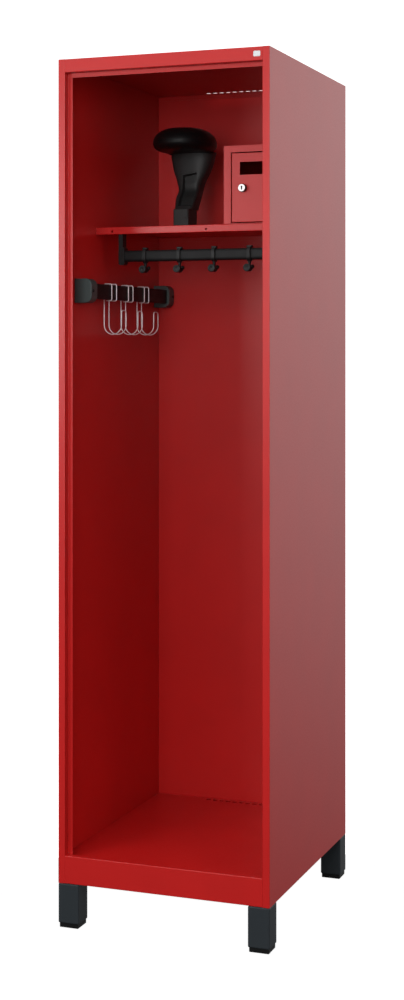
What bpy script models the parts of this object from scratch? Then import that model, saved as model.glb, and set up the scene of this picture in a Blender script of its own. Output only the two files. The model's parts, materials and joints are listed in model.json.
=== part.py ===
"""Open-front fire brigade gear locker: sheet-steel body on four feet, with a helmet
holder, a lockable valuables box, a coat rail with sliding hooks and a side bar
with sliding wire hooks.

Frame: metres, +Z up, origin on the ground under the middle of the body. The open
front faces -Y and +X is to the right of someone standing in front of it.
"""

import math

import bmesh
import bpy
import numpy as np
from mathutils import Matrix, Vector

MM = 0.001

# ---------------------------------------------------------------- driving sizes
BODY_WIDTH = 500 * MM
BODY_DEPTH = 600 * MM
BODY_HEIGHT = 1850 * MM
FOOT_HEIGHT = 100 * MM
SHEET = 1.0 * MM
GAP = 0.3 * MM                  # air between two pieces that touch
FLUSH = 0.01 * MM               # keeps two faces of a cut or a union from lying in one plane

# Folded front frame
STILE_WIDTH = 16.5 * MM
REBATE_DEPTH = 17 * MM
LEFT_STOP = 11 * MM             # stop flange behind the left stile
RIGHT_STOP = 5 * MM             # narrower one behind the right stile
HEADER_HEIGHT = 30 * MM
HEADER_STOP = 10 * MM
BASE_RAIL_HEIGHT = 62 * MM
REAR_RETURN = 15 * MM
LAP = 20 * MM                   # overlap of the roof and floor on the front profiles
BASE_RETURN = 15 * MM
FLOOR_DROP = 7 * MM             # floor lies lower than the top of the base rail
EDGE_FOLD = 12 * MM
OUTER_BEND = 1.4 * MM
INNER_BEND = 0.5 * MM

# Vent slots, one row in the roof and one in the floor
SLOT_COUNT = 13
SLOT_PITCH = 17.5 * MM
SLOT_LENGTH = 12 * MM
SLOT_WIDTH = 11 * MM
SLOT_CORNER = 2 * MM
SLOT_FROM_BACK = 16 * MM

# Feet
FOOT_SIZE = 50 * MM
FOOT_WALL = 2 * MM
FOOT_PLATE = 3 * MM
CAP_SHOW = 10 * MM              # plastic cap that shows below the tube
CAP_INSERT = 16 * MM
GUSSET_SIZE = 85 * MM
GUSSET_SHEET = 3 * MM
BOLT_RADIUS = 4 * MM
BOLT_HEAD_RADIUS = 7.5 * MM
BOLT_HEAD = 5.3 * MM
BOLT_TAIL = 4 * MM

# Hat shelf
SHELF_BELOW_TOP = 364 * MM
SHELF_SETBACK = 205 * MM        # shelf edge behind the front face
SHELF_LIP = 17 * MM
SHELF_HEM = 5 * MM
LIP_HOLE_RADIUS = 2.6 * MM
LIP_HOLES_FROM_LEFT = (43 * MM, 278 * MM)
ANGLE_LEG = 14 * MM
ANGLE_SHEET = 1.5 * MM

# Valuables box
BOX_WIDTH = 177 * MM
BOX_HEIGHT = 179 * MM
BOX_FRAME = 17 * MM
BOX_TOP_FRAME = 15 * MM
DOOR_GAP = 2.5 * MM
DOOR_THICKNESS = 12 * MM
WINDOW_HEIGHT = 29.5 * MM
WINDOW_MARGIN = 19.5 * MM       # from each side edge of the door
WINDOW_FROM_TOP = 20.5 * MM
PIVOT_INSET = 4.5 * MM          # pivot axis behind the door face and in from its edge
PIVOT_RADIUS = 2 * MM
PIVOT_CLEARANCE = 0.35 * MM
BUSH_RADIUS = 5 * MM
BRACKET_SHEET = 1.5 * MM
BRACKET_LEFT = 12 * MM          # pivot axis to the free edge of its bracket
BRACKET_BACK = 20 * MM
ROD_STANDS = 2 * MM             # rod above its bracket
LATCH_RETURN = 8 * MM
LATCH_DEPTH = 14 * MM

# Cam lock
LOCK_FROM_LEFT = 27.5 * MM      # from the door's left edge
LOCK_FROM_TOP = 80.5 * MM
LOCK_PROUD = 10 * MM
LOCK_COLLAR_RADIUS = 9.4 * MM
LOCK_BARREL_RADIUS = 8 * MM
LOCK_BARREL = 15 * MM
LOCK_FACE_RADIUS = 8.5 * MM
LOCK_FACE = 1.4 * MM
LOCK_PLUG_RADIUS = 5.5 * MM
LOCK_CLEARANCE = 0.3 * MM
LOCK_NUT_FLATS = 21 * MM
LOCK_NUT = 4 * MM
KEYHOLE_WIDTH = 3.4 * MM
KEYHOLE_HEIGHT = 9.4 * MM
KEYHOLE_DEPTH = 5 * MM
CAM_LENGTH = 28 * MM
CAM_WIDTH = 11 * MM
CAM_SHEET = 2 * MM
CAM_SCREW = 7 * MM

# Coat rail under the shelf
RAIL_HEIGHT = 27 * MM
RAIL_THICKNESS = 15 * MM
RAIL_FLAT = 0.5 * MM            # half of the flat on the rail's rounded edges
RAIL_BELOW_SHELF = 55 * MM      # shelf top to rail top
RAIL_BEHIND_LIP = 15 * MM       # shelf edge to rail centre
RAIL_END = 58 * MM              # rail end to the side of the body
BRACKET_SOCKET = 15 * MM
BRACKET_COVER = 2 * MM          # bracket end beyond the rail end
BRACKET_FLANGE = 24 * MM        # flange reach towards the middle of the body
BRACKET_FRONT = 9 * MM          # rail centre to the front of the bracket
BRACKET_REAR = 12 * MM
BRACKET_HEAD = 15 * MM          # width of the head under the shelf
BRACKET_HEAD_LIP = 2 * MM       # head beyond the outside of the leg
BRACKET_FLANGE_DEPTH = 44 * MM
BRACKET_FLANGE_THICKNESS = 5 * MM
FLANGE_STEP = 0.5 * MM          # flange is thinner than the head of the leg
BRACKET_LEG = 11 * MM
BRACKET_TAPER = 8 * MM
BRACKET_CHAMFER = 3 * MM
BRACKET_SCREW_INSET = 10 * MM
SOCKET_WALL = 4.5 * MM
SOCKET_FLOOR = 7 * MM
SOCKET_OVERLAP = 12 * MM        # rail length inside a bracket
HOOK_PITCH = 86 * MM
HOOK_COUNT = 4
HOOK_WIDTH = 9 * MM
CLIP_WALL = 3.5 * MM
CLIP_CLEARANCE = 0.5 * MM
PRONG_SPAN = 19 * MM            # rail centre to prong tip, front and back
PRONG_DROP = 27 * MM            # rail bottom to the lowest point of the prongs
PRONG_RISE = 9 * MM
PRONG_RADIUS = 3.4 * MM
PRONG_BALL = 4.8 * MM
NECK_WIDTH = 6.4 * MM
NECK_DEPTH = 8 * MM
BUTTON_RADIUS = 9 * MM          # round button on the tip of the front prong
BUTTON = 5 * MM
BUTTON_DROP = 4 * MM            # its centre below the tip
BUTTON_DIMPLE = 4.5 * MM
BUTTON_DIMPLE_DEPTH = 1.5 * MM
CLIP_CAP_WIDTH = 13 * MM        # block on top of the clip
CLIP_CAP_LENGTH = 12 * MM
CLIP_CAP = 2 * MM

# Side bar with consoles and wire hooks
BAR_BELOW_SHELF = 153 * MM      # shelf top to bar centre
BAR_HEIGHT = 35 * MM
BAR_THICKNESS = 15 * MM
BAR_FROM_WALL = 21 * MM
CONSOLE_SETBACK = 83 * MM       # front console behind the front face
CONSOLE_LENGTH = 34 * MM
CONSOLE_REACH = 43 * MM
CONSOLE_HEIGHT = 56 * MM
CONSOLE_CORNER = 16 * MM
CONSOLE_POCKET = 14 * MM
WIRE_HOOK_COUNT = 3
WIRE_HOOK_PITCH = 100 * MM
WIRE_HOOK_FIRST = 107 * MM      # front console to the first hook's centre
WIRE_RADIUS = 1.3 * MM
WIRE_SPREAD = 28 * MM
WIRE_CLEARANCE = 1.0 * MM
WIRE_DROP = 82 * MM             # bar bottom to the lowest wire centre
WIRE_TIP = 56 * MM              # lowest wire centre to the tip
WIRE_CORNER = 4.5 * MM
WIRE_TIP_CORNER = 8 * MM
WIRE_BOW = 44.4 * MM            # rear leg to tip, across the bow
WIRE_TAIL = 5 * MM              # rear leg to the cut end of the wrap

# Helmet holder
HOLDER_FROM_LEFT = 160 * MM     # left side of the body to its centre
HOLDER_FROM_LIP = 172 * MM      # shelf edge to its centre
HOLDER_HEIGHT = 248 * MM
REST_WIDTH = 150 * MM
REST_LENGTH = 180 * MM
REST_TOP = 39 * MM              # widest line to the crown
REST_BOTTOM = 19 * MM           # widest line to the underside
REST_LOWER_RINGS = 4
REST_UPPER_RINGS = 8
REST_LOWER_POWER = 0.32         # how squarely the side turns into the underside
REST_UPPER_POWER = 0.62
REST_OUTLINE_POWER = 2.15
REST_SEAT = 4 * MM              # depth of the column's seat in the underside
HOLDER_BASE_WIDTH = 39 * MM
HOLDER_BASE_LENGTH = 60 * MM
HOLDER_BASE_HEIGHT = 51 * MM
TAB_THICKNESS = 3 * MM          # latch tab on the front of the base
TAB_WIDTH = 11 * MM
TAB_HEIGHT = 22 * MM
TAB_FROM_RIGHT = 1.5 * MM
TAB_FROM_TOP = 1 * MM
COLUMN_LEAN = 58 * MM           # column top behind its base
COLUMN_TOP_WIDTH = 112 * MM
COLUMN_TOP_LENGTH = 70 * MM
COLUMN_TOP_POWER = 2.6
COLUMN_WAIST_WIDTH = 54 * MM
COLUMN_WAIST_LENGTH = 52 * MM
COLUMN_FOOT_WIDTH = 46 * MM
RECESS_WIDTH = 36 * MM          # finger recess in the front of the column
RECESS_SHIFT = 4 * MM           # its middle to the right of the column's
RECESS_DEPTH = 12 * MM
RECESS_START = 0.05             # shares of the column's height
RECESS_END = 0.62
RECESS_STEPS = 8

# Blank plate on the header
PLATE_WIDTH = 16 * MM
PLATE_HEIGHT = 12 * MM
PLATE_CORNER = 2.5 * MM
PLATE_INSET = 0.1 * MM
PLATE_MARGIN = 3 * MM           # flange round the plate, behind the header
PLATE_FLANGE = 1.2 * MM
PLATE_FROM_RIGHT = 29 * MM      # side of the body to the middle of the plate

# Screws
SCREW_RADIUS = 2 * MM
SCREW_HEAD_RADIUS = 3.8 * MM
SCREW_HEAD = 2.2 * MM
SCREW_HOLE = 2.4 * MM
HOLDER_SCREW = 16 * MM

# Facets
BEND_SEGMENTS = 3
BOW_SEGMENTS = 7
PRONG_SEGMENTS = 6
CONSOLE_SEGMENTS = 4
SOCKET_SEGMENTS = 5
FINE_SEGMENTS = 24
SMALL_SEGMENTS = 16

# ---------------------------------------------------------------- derived places
SIDE = BODY_WIDTH / 2
FRONT = -BODY_DEPTH / 2
BACK = BODY_DEPTH / 2
BOTTOM = FOOT_HEIGHT
TOP = FOOT_HEIGHT + BODY_HEIGHT

INNER_SIDE = SIDE - SHEET - GAP         # widest a piece inside the body may be
STOP_FACE = FRONT + REBATE_DEPTH
BEHIND_STOP = STOP_FACE + SHEET + GAP
BACK_PANEL_REAR = BACK - SHEET - GAP
BACK_PANEL_FACE = BACK_PANEL_REAR - SHEET
INNER_BACK = BACK_PANEL_FACE - GAP      # deepest a piece inside the body may reach
FLOOR_TOP = BOTTOM + BASE_RAIL_HEIGHT - FLOOR_DROP
SHELF_TOP = TOP - SHELF_BELOW_TOP
SHELF_EDGE = FRONT + SHELF_SETBACK

BOX_RIGHT = INNER_SIDE
BOX_LEFT = BOX_RIGHT - BOX_WIDTH
BOX_BOTTOM = SHELF_TOP + GAP
BOX_TOP = SHELF_TOP + BOX_HEIGHT
DOOR_LEFT = BOX_LEFT + BOX_FRAME + DOOR_GAP
DOOR_RIGHT = BOX_RIGHT - BOX_FRAME - DOOR_GAP
DOOR_BOTTOM = BOX_BOTTOM + SHEET + DOOR_GAP
DOOR_TOP = BOX_TOP - BOX_TOP_FRAME - DOOR_GAP
PIVOT_X = DOOR_RIGHT - PIVOT_INSET
PIVOT_Y = SHELF_EDGE + PIVOT_INSET
LOCK_X = DOOR_LEFT + LOCK_FROM_LEFT
LOCK_Z = DOOR_TOP - LOCK_FROM_TOP

RAIL_Y = SHELF_EDGE + RAIL_BEHIND_LIP
RAIL_TOP = SHELF_TOP - RAIL_BELOW_SHELF
RAIL_Z = RAIL_TOP - RAIL_HEIGHT / 2
RAIL_HALF = SIDE - RAIL_END

WALL_FACE = -SIDE + SHEET
BAR_X = WALL_FACE + BAR_FROM_WALL + BAR_THICKNESS / 2
BAR_Z = SHELF_TOP - BAR_BELOW_SHELF
CONSOLE_FRONT = FRONT + CONSOLE_SETBACK
BAR_START = CONSOLE_FRONT + CONSOLE_LENGTH

HOLDER_X = -SIDE + HOLDER_FROM_LEFT
HOLDER_Y = SHELF_EDGE + HOLDER_FROM_LIP

# ---------------------------------------------------------------- colours
RED = (0.60, 0.022, 0.022)
DARK_RED = (0.52, 0.018, 0.018)
ANTHRACITE = (0.032, 0.038, 0.042)
BLACK = (0.012, 0.013, 0.014)
SATIN_BLACK = (0.022, 0.024, 0.026)
CHROME = (0.80, 0.80, 0.81)
ZINC = (0.56, 0.57, 0.58)
PALE = (0.72, 0.73, 0.74)


# ---------------------------------------------------------------- scene and helpers
def clear_scene():
    for item in list(bpy.data.objects):
        bpy.data.objects.remove(item, do_unlink=True)


def new_collection(name):
    collection = bpy.data.collections.new(name)
    bpy.context.scene.collection.children.link(collection)
    return collection


clear_scene()
PARTS = new_collection("fire_brigade_locker")
CUTTERS = new_collection("cutters")


def make_material(name, color, roughness, metallic=0.0):
    material = bpy.data.materials.new(name)
    material.use_nodes = True
    shader = material.node_tree.nodes["Principled BSDF"]
    shader.inputs["Base Color"].default_value = (*color, 1.0)
    shader.inputs["Roughness"].default_value = roughness
    shader.inputs["Metallic"].default_value = metallic
    return material


FINISHES = {
    "red_paint": (RED, 0.35, 0.0),
    "shelf_paint": (DARK_RED, 0.35, 0.0),
    "anthracite_paint": (ANTHRACITE, 0.45, 0.0),
    "black_plastic": (BLACK, 0.5, 0.0),
    "satin_plastic": (SATIN_BLACK, 0.4, 0.0),
    "chrome": (CHROME, 0.12, 1.0),
    "zinc": (ZINC, 0.35, 1.0),
    "pale_plate": (PALE, 0.3, 0.0),
}


def add_object(name, mesh, finish, smooth=True):
    """Link a finished mesh as one part with a material of its own."""
    color, roughness, metallic = FINISHES[finish]
    part = bpy.data.objects.new(name, mesh)
    mesh.materials.append(make_material(name + "_" + finish, color, roughness, metallic))
    if smooth:
        mesh.shade_smooth()
        mesh.set_sharp_from_angle(angle=math.radians(30))
    PARTS.objects.link(part)
    return part


def mesh_from(shape, name):
    mesh = bpy.data.meshes.new(name)
    bmesh.ops.recalc_face_normals(shape, faces=shape.faces)
    shape.to_mesh(mesh)
    shape.free()
    return mesh


def add_box(shape, low, high):
    """Add a box between two corners to a bmesh and return its vertices."""
    low = Vector(low)
    high = Vector(high)
    size = high - low
    place = Matrix.Translation((low + high) / 2) @ Matrix.Diagonal((*size, 1.0))
    return bmesh.ops.create_cube(shape, size=1.0, matrix=place)["verts"]


def add_cylinder(shape, center, radius, length, axis, segments=SMALL_SEGMENTS, end_radius=None):
    """Add a cylinder, or a cone with end_radius, centred on a point along X, Y or Z."""
    turn = {
        "X": Matrix.Rotation(math.radians(90), 4, "Y"),
        "Y": Matrix.Rotation(math.radians(90), 4, "X"),
        "Z": Matrix.Identity(4),
    }[axis]
    bmesh.ops.create_cone(
        shape, cap_ends=True, segments=segments, radius1=radius,
        radius2=radius if end_radius is None else end_radius, depth=length,
        matrix=Matrix.Translation(center) @ turn)


def box_part(name, low, high, finish, bevel=0.0, segments=2):
    shape = bmesh.new()
    add_box(shape, low, high)
    part = add_object(name, mesh_from(shape, name), finish)
    if bevel:
        round_edges(part, bevel, segments)
    return part


def round_edges(part, width, segments=2):
    bevel = part.modifiers.new("rounded_edges", "BEVEL")
    bevel.width = width
    bevel.segments = segments
    bevel.limit_method = "ANGLE"
    bevel.angle_limit = math.radians(30)


def cutter_from(shape, name):
    cutter = bpy.data.objects.new(name, mesh_from(shape, name))
    cutter.hide_render = True
    cutter.display_type = "WIRE"
    CUTTERS.objects.link(cutter)
    return cutter


def boolean(part, other, operation="DIFFERENCE"):
    modifier = part.modifiers.new(operation.lower() + "_" + other.name, "BOOLEAN")
    modifier.operation = operation
    modifier.solver = "EXACT"
    modifier.object = other


def cut_box(part, low, high, label):
    shape = bmesh.new()
    add_box(shape, low, high)
    boolean(part, cutter_from(shape, part.name + "_" + label))


def cut_cylinder(part, center, radius, length, axis, label, segments=SMALL_SEGMENTS):
    shape = bmesh.new()
    add_cylinder(shape, center, radius, length, axis, segments)
    boolean(part, cutter_from(shape, part.name + "_" + label))


def baked_mesh(item, name):
    """Evaluate a curve to a mesh in world space, weld its caps and drop the curve."""
    bpy.context.view_layer.update()
    graph = bpy.context.evaluated_depsgraph_get()
    mesh = bpy.data.meshes.new_from_object(item.evaluated_get(graph))
    shape = bmesh.new()
    shape.from_mesh(mesh)
    bmesh.ops.transform(shape, matrix=item.matrix_world, verts=shape.verts)
    bmesh.ops.remove_doubles(shape, verts=shape.verts, dist=1e-6)
    bpy.data.objects.remove(item, do_unlink=True)
    return mesh_from(shape, name)


# ---------------------------------------------------------------- profiles and outlines
def fillet(points, radii):
    """Replace each inner corner of an open 2D line by an arc of its own radius."""
    rounded = [Vector(points[0])]
    for before, corner, after, radius in zip(points, points[1:], points[2:], radii):
        corner = Vector(corner)
        inward = (Vector(before) - corner).normalized()
        outward = (Vector(after) - corner).normalized()
        half = math.acos(max(-1.0, min(1.0, inward.dot(outward)))) / 2
        reach = radius / math.tan(half)
        center = corner + (inward + outward).normalized() * (radius / math.sin(half))
        start = corner + inward * reach - center
        sweep = start.angle_signed(corner + outward * reach - center)
        for step in range(BEND_SEGMENTS + 1):
            turned = Matrix.Rotation(-sweep * step / BEND_SEGMENTS, 2) @ start
            rounded.append(center + turned)
    rounded.append(Vector(points[-1]))
    return rounded


def folded_sheet(name, profile, thick_side, plane, start, end, finish, sheet=SHEET):
    """Fold a sheet along a profile.

    profile holds the 2D corners of the visible face, in the XY or the YZ plane, and
    the sheet's thickness lies on the left or the right of someone walking along it.
    """
    corners = [Vector(point) for point in profile]
    radii = []
    for before, corner, after in zip(corners, corners[1:], corners[2:]):
        step_in = corner - before
        step_out = after - corner
        turns_left = step_in.x * step_out.y - step_in.y * step_out.x > 0
        radii.append(OUTER_BEND if turns_left == (thick_side == "left") else INNER_BEND)
    line = fillet(corners, radii)

    def place(point, along):
        if plane == "XY":
            return (point.x, point.y, along)
        return (along, point.x, point.y)

    shape = bmesh.new()
    lower = [shape.verts.new(place(point, start)) for point in line]
    upper = [shape.verts.new(place(point, end)) for point in line]
    for index in range(len(line) - 1):
        shape.faces.new((lower[index], lower[index + 1], upper[index + 1], upper[index]))
    mesh = bpy.data.meshes.new(name)
    shape.to_mesh(mesh)
    shape.free()
    part = add_object(name, mesh, finish)
    solidify = part.modifiers.new("sheet_thickness", "SOLIDIFY")
    solidify.thickness = sheet
    solidify.offset = -1.0 if thick_side == "left" else 1.0
    solidify.use_even_offset = True
    return part


def rounded_outline(width, height, radius, segments=4):
    """Corners of a rounded rectangle about the origin, anticlockwise."""
    points = []
    for quarter, (sx, sy) in enumerate(((1, 1), (-1, 1), (-1, -1), (1, -1))):
        center = Vector((sx * (width / 2 - radius), sy * (height / 2 - radius)))
        for step in range(segments + 1):
            angle = math.radians(90) * (quarter + step / segments)
            points.append(center + radius * Vector((math.cos(angle), math.sin(angle))))
    return points


def prism(shape, outline, plane, start, end):
    """Extrude a closed 2D outline along the axis that is normal to its plane."""
    def place(point, along):
        if plane == "XZ":
            return (point[0], along, point[1])
        if plane == "YZ":
            return (along, point[0], point[1])
        return (point[0], point[1], along)

    low = [shape.verts.new(place(point, start)) for point in outline]
    high = [shape.verts.new(place(point, end)) for point in outline]
    shape.faces.new(low)
    shape.faces.new(high)
    count = len(outline)
    for index in range(count):
        after = (index + 1) % count
        shape.faces.new((low[index], low[after], high[after], high[index]))


def prism_part(name, outline, plane, start, end, finish, bevel=0.0, segments=2):
    shape = bmesh.new()
    prism(shape, outline, plane, start, end)
    part = add_object(name, mesh_from(shape, name), finish)
    if bevel:
        round_edges(part, bevel, segments)
    return part


def shifted(outline, dx, dy):
    return [Vector((point[0] + dx, point[1] + dy)) for point in outline]


def wire_curve(name, path, radius):
    """A round wire along 3D points, as a poly curve with filled caps."""
    curve = bpy.data.curves.new(name, "CURVE")
    curve.dimensions = "3D"
    curve.bevel_depth = radius
    curve.bevel_resolution = 2
    curve.use_fill_caps = True
    spline = curve.splines.new("POLY")
    spline.points.add(len(path) - 1)
    for point, place in zip(spline.points, path):
        point.co = (*place, 1.0)
    return bpy.data.objects.new(name, curve)


def loft(shape, rings):
    """Join rings of equal point count with quads and close both ends."""
    rows = [[shape.verts.new(point) for point in ring] for ring in rings]
    count = len(rows[0])
    for row, above in zip(rows, rows[1:]):
        for index in range(count):
            after = (index + 1) % count
            shape.faces.new((row[index], row[after], above[after], above[index]))
    shape.faces.new(rows[0])
    shape.faces.new(rows[-1])


def superellipse(center_x, center_y, z, width, length, power, count=FINE_SEGMENTS):
    """A level ring between an ellipse (power 2) and a rounded rectangle."""
    ring = []
    for index in range(count):
        angle = math.tau * (index + 0.5) / count
        cosine = math.cos(angle)
        sine = math.sin(angle)
        x = math.copysign(abs(cosine) ** (2 / power), cosine) * width / 2
        y = math.copysign(abs(sine) ** (2 / power), sine) * length / 2
        ring.append((center_x + x, center_y + y, z))
    return ring


def screw(name, seat, outward, length):
    """Pan-head screw whose head seats on a point and faces outward."""
    turn = Vector(outward).to_track_quat("Z", "Y").to_matrix().to_4x4()
    profile = [
        (SCREW_RADIUS, -length), (SCREW_RADIUS, GAP), (SCREW_HEAD_RADIUS, GAP),
        (SCREW_HEAD_RADIUS, GAP + SCREW_HEAD * 0.45), (SCREW_HEAD_RADIUS * 0.55, GAP + SCREW_HEAD),
    ]
    rings = []
    for radius, height in profile:
        ring = []
        for index in range(SMALL_SEGMENTS):
            angle = math.tau * index / SMALL_SEGMENTS
            local = Vector((radius * math.cos(angle), radius * math.sin(angle), height))
            ring.append(Vector(seat) + turn @ local)
        rings.append(ring)
    shape = bmesh.new()
    loft(shape, rings)
    add_object(name, mesh_from(shape, name), "zinc")


# ---------------------------------------------------------------- body
def stop_width(hand):
    return LEFT_STOP if hand < 0 else RIGHT_STOP


def side_panel(name, hand):
    """Side wall with its folded stile; hand is -1 for the left and +1 for the right."""
    face = SIDE - STILE_WIDTH
    profile = [
        (hand * (SIDE - REAR_RETURN), BACK), (hand * SIDE, BACK), (hand * SIDE, FRONT),
        (hand * face, FRONT), (hand * face, STOP_FACE),
        (hand * (face - stop_width(hand)), STOP_FACE),
    ]
    side = "left" if hand < 0 else "right"
    return folded_sheet(name, profile, side, "XY", BOTTOM, TOP, "red_paint")


def notch_for_stiles(part):
    """Clear the stop flanges of both stiles at the ends of a front profile."""
    for hand, label in ((-1, "left_notch"), (1, "right_notch")):
        inner = SIDE - STILE_WIDTH - stop_width(hand) - GAP
        low_x, high_x = sorted((hand * inner, hand * SIDE))
        cut_box(part, (low_x, STOP_FACE - GAP, BOTTOM - SHEET),
                (high_x, BACK, TOP + SHEET), label)


def header():
    half = SIDE - STILE_WIDTH - GAP
    bottom = TOP - HEADER_HEIGHT
    profile = [
        (STOP_FACE + LAP, TOP), (FRONT, TOP), (FRONT, bottom), (STOP_FACE, bottom),
        (STOP_FACE, bottom - HEADER_STOP),
    ]
    part = folded_sheet("header", profile, "left", "YZ", -half, half, "red_paint")
    notch_for_stiles(part)
    return part


def base_rail():
    half = SIDE - STILE_WIDTH - GAP
    top = BOTTOM + BASE_RAIL_HEIGHT
    under_floor = FLOOR_TOP - SHEET - GAP
    step = STOP_FACE - GAP
    profile = [
        (FRONT + BASE_RETURN, BOTTOM), (FRONT, BOTTOM), (FRONT, top), (step, top),
        (step, under_floor), (step + LAP, under_floor),
    ]
    part = folded_sheet("base_rail", profile, "right", "YZ", -half, half, "red_paint")
    notch_for_stiles(part)


def cut_vent_slots(part, z):
    shape = bmesh.new()
    outline = rounded_outline(SLOT_LENGTH, SLOT_WIDTH, SLOT_CORNER, 1)
    first = -SLOT_PITCH * (SLOT_COUNT - 1) / 2
    for index in range(SLOT_COUNT):
        moved = shifted(outline, first + index * SLOT_PITCH, BACK_PANEL_FACE - SLOT_FROM_BACK)
        prism(shape, moved, "XY", z - 5 * SHEET, z + 5 * SHEET)
    boolean(part, cutter_from(shape, part.name + "_slots"))


def level_panel(name, z, finish):
    """Floor or roof sheet with its rear edge folded down and a row of vent slots."""
    profile = [(BEHIND_STOP, z), (INNER_BACK, z), (INNER_BACK, z - EDGE_FOLD)]
    part = folded_sheet(name, profile, "right", "YZ", -INNER_SIDE, INNER_SIDE, finish)
    cut_vent_slots(part, z)


def body():
    side_panel("left_side_panel", -1)
    side_panel("right_side_panel", 1)
    box_part("back_panel", (-INNER_SIDE, BACK_PANEL_FACE, BOTTOM),
             (INNER_SIDE, BACK_PANEL_REAR, TOP), "red_paint")
    blank_plate(header())
    base_rail()
    level_panel("roof_panel", TOP - SHEET - GAP, "red_paint")
    level_panel("floor_panel", FLOOR_TOP, "red_paint")


def blank_plate(header_part):
    """Plain plate that shows through a window in the header, held by a rear flange."""
    x = SIDE - PLATE_FROM_RIGHT
    z = TOP - HEADER_HEIGHT / 2

    def outline(margin):
        return shifted(rounded_outline(PLATE_WIDTH + 2 * margin, PLATE_HEIGHT + 2 * margin,
                                       PLATE_CORNER + margin, 3), x, z)

    flange_front = FRONT + SHEET + GAP
    plate = prism_part("blank_plate", outline(0), "XZ", FRONT + PLATE_INSET,
                       flange_front + PLATE_FLANGE / 2, "pale_plate")
    shape = bmesh.new()
    prism(shape, outline(PLATE_MARGIN), "XZ", flange_front, flange_front + PLATE_FLANGE)
    boolean(plate, cutter_from(shape, "blank_plate_flange"), "UNION")
    shape = bmesh.new()
    prism(shape, outline(GAP), "XZ", FRONT - SHEET, FRONT + 3 * SHEET)
    boolean(header_part, cutter_from(shape, "header_plate_window"))


# ---------------------------------------------------------------- feet
def foot(label, hand_x, hand_y):
    """One foot tube with its plastic cap and the gusset that it is bolted to."""
    center_x = hand_x * (SIDE - FOOT_SIZE / 2)
    center_y = hand_y * (BACK - FOOT_SIZE / 2)
    half = FOOT_SIZE / 2
    top = BOTTOM - GAP
    tube = box_part("foot_tube_" + label, (center_x - half, center_y - half, CAP_SHOW + GAP),
                    (center_x + half, center_y + half, top), "anthracite_paint", 3 * MM, 3)
    inner = half - FOOT_WALL
    cut_box(tube, (center_x - inner, center_y - inner, 0),
            (center_x + inner, center_y + inner, top - FOOT_PLATE), "bore")
    cut_cylinder(tube, (center_x, center_y, top), BOLT_RADIUS + GAP, 4 * FOOT_PLATE, "Z",
                 "bolt_hole")

    plug = inner - GAP
    box_part("foot_cap_" + label, (center_x - plug, center_y - plug, 0),
             (center_x + plug, center_y + plug, CAP_SHOW + CAP_INSERT), "black_plastic",
             1.5 * MM, 2)

    outer_x = hand_x * INNER_SIDE
    inner_x = hand_x * (INNER_SIDE - GUSSET_SIZE)
    outer_y = BEHIND_STOP if hand_y < 0 else INNER_BACK
    inner_y = outer_y - hand_y * GUSSET_SIZE
    low_x, high_x = sorted((outer_x, inner_x))
    low_y, high_y = sorted((outer_y, inner_y))
    gusset = box_part("corner_gusset_" + label, (low_x, low_y, BOTTOM),
                      (high_x, high_y, BOTTOM + GUSSET_SHEET), "red_paint")
    cut_cylinder(gusset, (center_x, center_y, BOTTOM), BOLT_RADIUS + GAP, 4 * GUSSET_SHEET,
                 "Z", "bolt_hole")
    foot_bolt("foot_bolt_" + label, center_x, center_y)


def foot_bolt(name, x, y):
    """Hexagon bolt that clamps a foot tube to its gusset from inside the body."""
    seat = BOTTOM + GUSSET_SHEET + GAP
    shank_end = BOTTOM - GAP - FOOT_PLATE - BOLT_TAIL
    hexagon = []
    shank = []
    for index in range(12):
        angle = math.tau * index / 12
        direction = Vector((math.cos(angle), math.sin(angle)))
        flat = math.cos(math.radians(30)) if index % 2 else 1.0
        hexagon.append(Vector((x, y)) + direction * BOLT_HEAD_RADIUS * flat)
        shank.append(Vector((x, y)) + direction * BOLT_RADIUS)
    rings = [
        [(point.x, point.y, z) for point in outline]
        for outline, z in ((shank, shank_end), (shank, seat), (hexagon, seat),
                           (hexagon, seat + BOLT_HEAD))
    ]
    shape = bmesh.new()
    loft(shape, rings)
    add_object(name, mesh_from(shape, name), "zinc")


def feet():
    for label, hand_x, hand_y in (("front_left", -1, -1), ("front_right", 1, -1),
                                  ("rear_left", -1, 1), ("rear_right", 1, 1)):
        foot(label, hand_x, hand_y)


# ---------------------------------------------------------------- shelf
def shelf():
    bottom = SHELF_TOP - SHELF_LIP
    profile = [
        (SHELF_EDGE + SHELF_HEM, bottom), (SHELF_EDGE, bottom), (SHELF_EDGE, SHELF_TOP),
        (INNER_BACK, SHELF_TOP), (INNER_BACK, SHELF_TOP - EDGE_FOLD),
    ]
    part = folded_sheet("shelf", profile, "right", "YZ", -INNER_SIDE, INNER_SIDE, "shelf_paint")
    for index, from_left in enumerate(LIP_HOLES_FROM_LEFT):
        cut_cylinder(part, (-SIDE + from_left, SHELF_EDGE, SHELF_TOP - SHELF_LIP * 0.6),
                     LIP_HOLE_RADIUS, 6 * SHEET, "Y", "lip_hole_%d" % (index + 1))
    shelf_support("left", -1)
    shelf_support("right", 1)
    return part


def shelf_support(label, hand):
    """Steel angle under one side of the shelf, from behind its lip to its rear fold."""
    top = SHELF_TOP - SHEET - GAP
    outline = [
        (INNER_SIDE, top - ANGLE_LEG), (INNER_SIDE, top), (INNER_SIDE - ANGLE_LEG, top),
        (INNER_SIDE - ANGLE_LEG, top - ANGLE_SHEET),
        (INNER_SIDE - ANGLE_SHEET, top - ANGLE_SHEET), (INNER_SIDE - ANGLE_SHEET, top - ANGLE_LEG),
    ]
    prism_part("shelf_support_" + label, [(hand * x, z) for x, z in outline], "XZ",
               SHELF_EDGE + SHELF_HEM + 2 * GAP, INNER_BACK - EDGE_FOLD, "shelf_paint")


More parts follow.
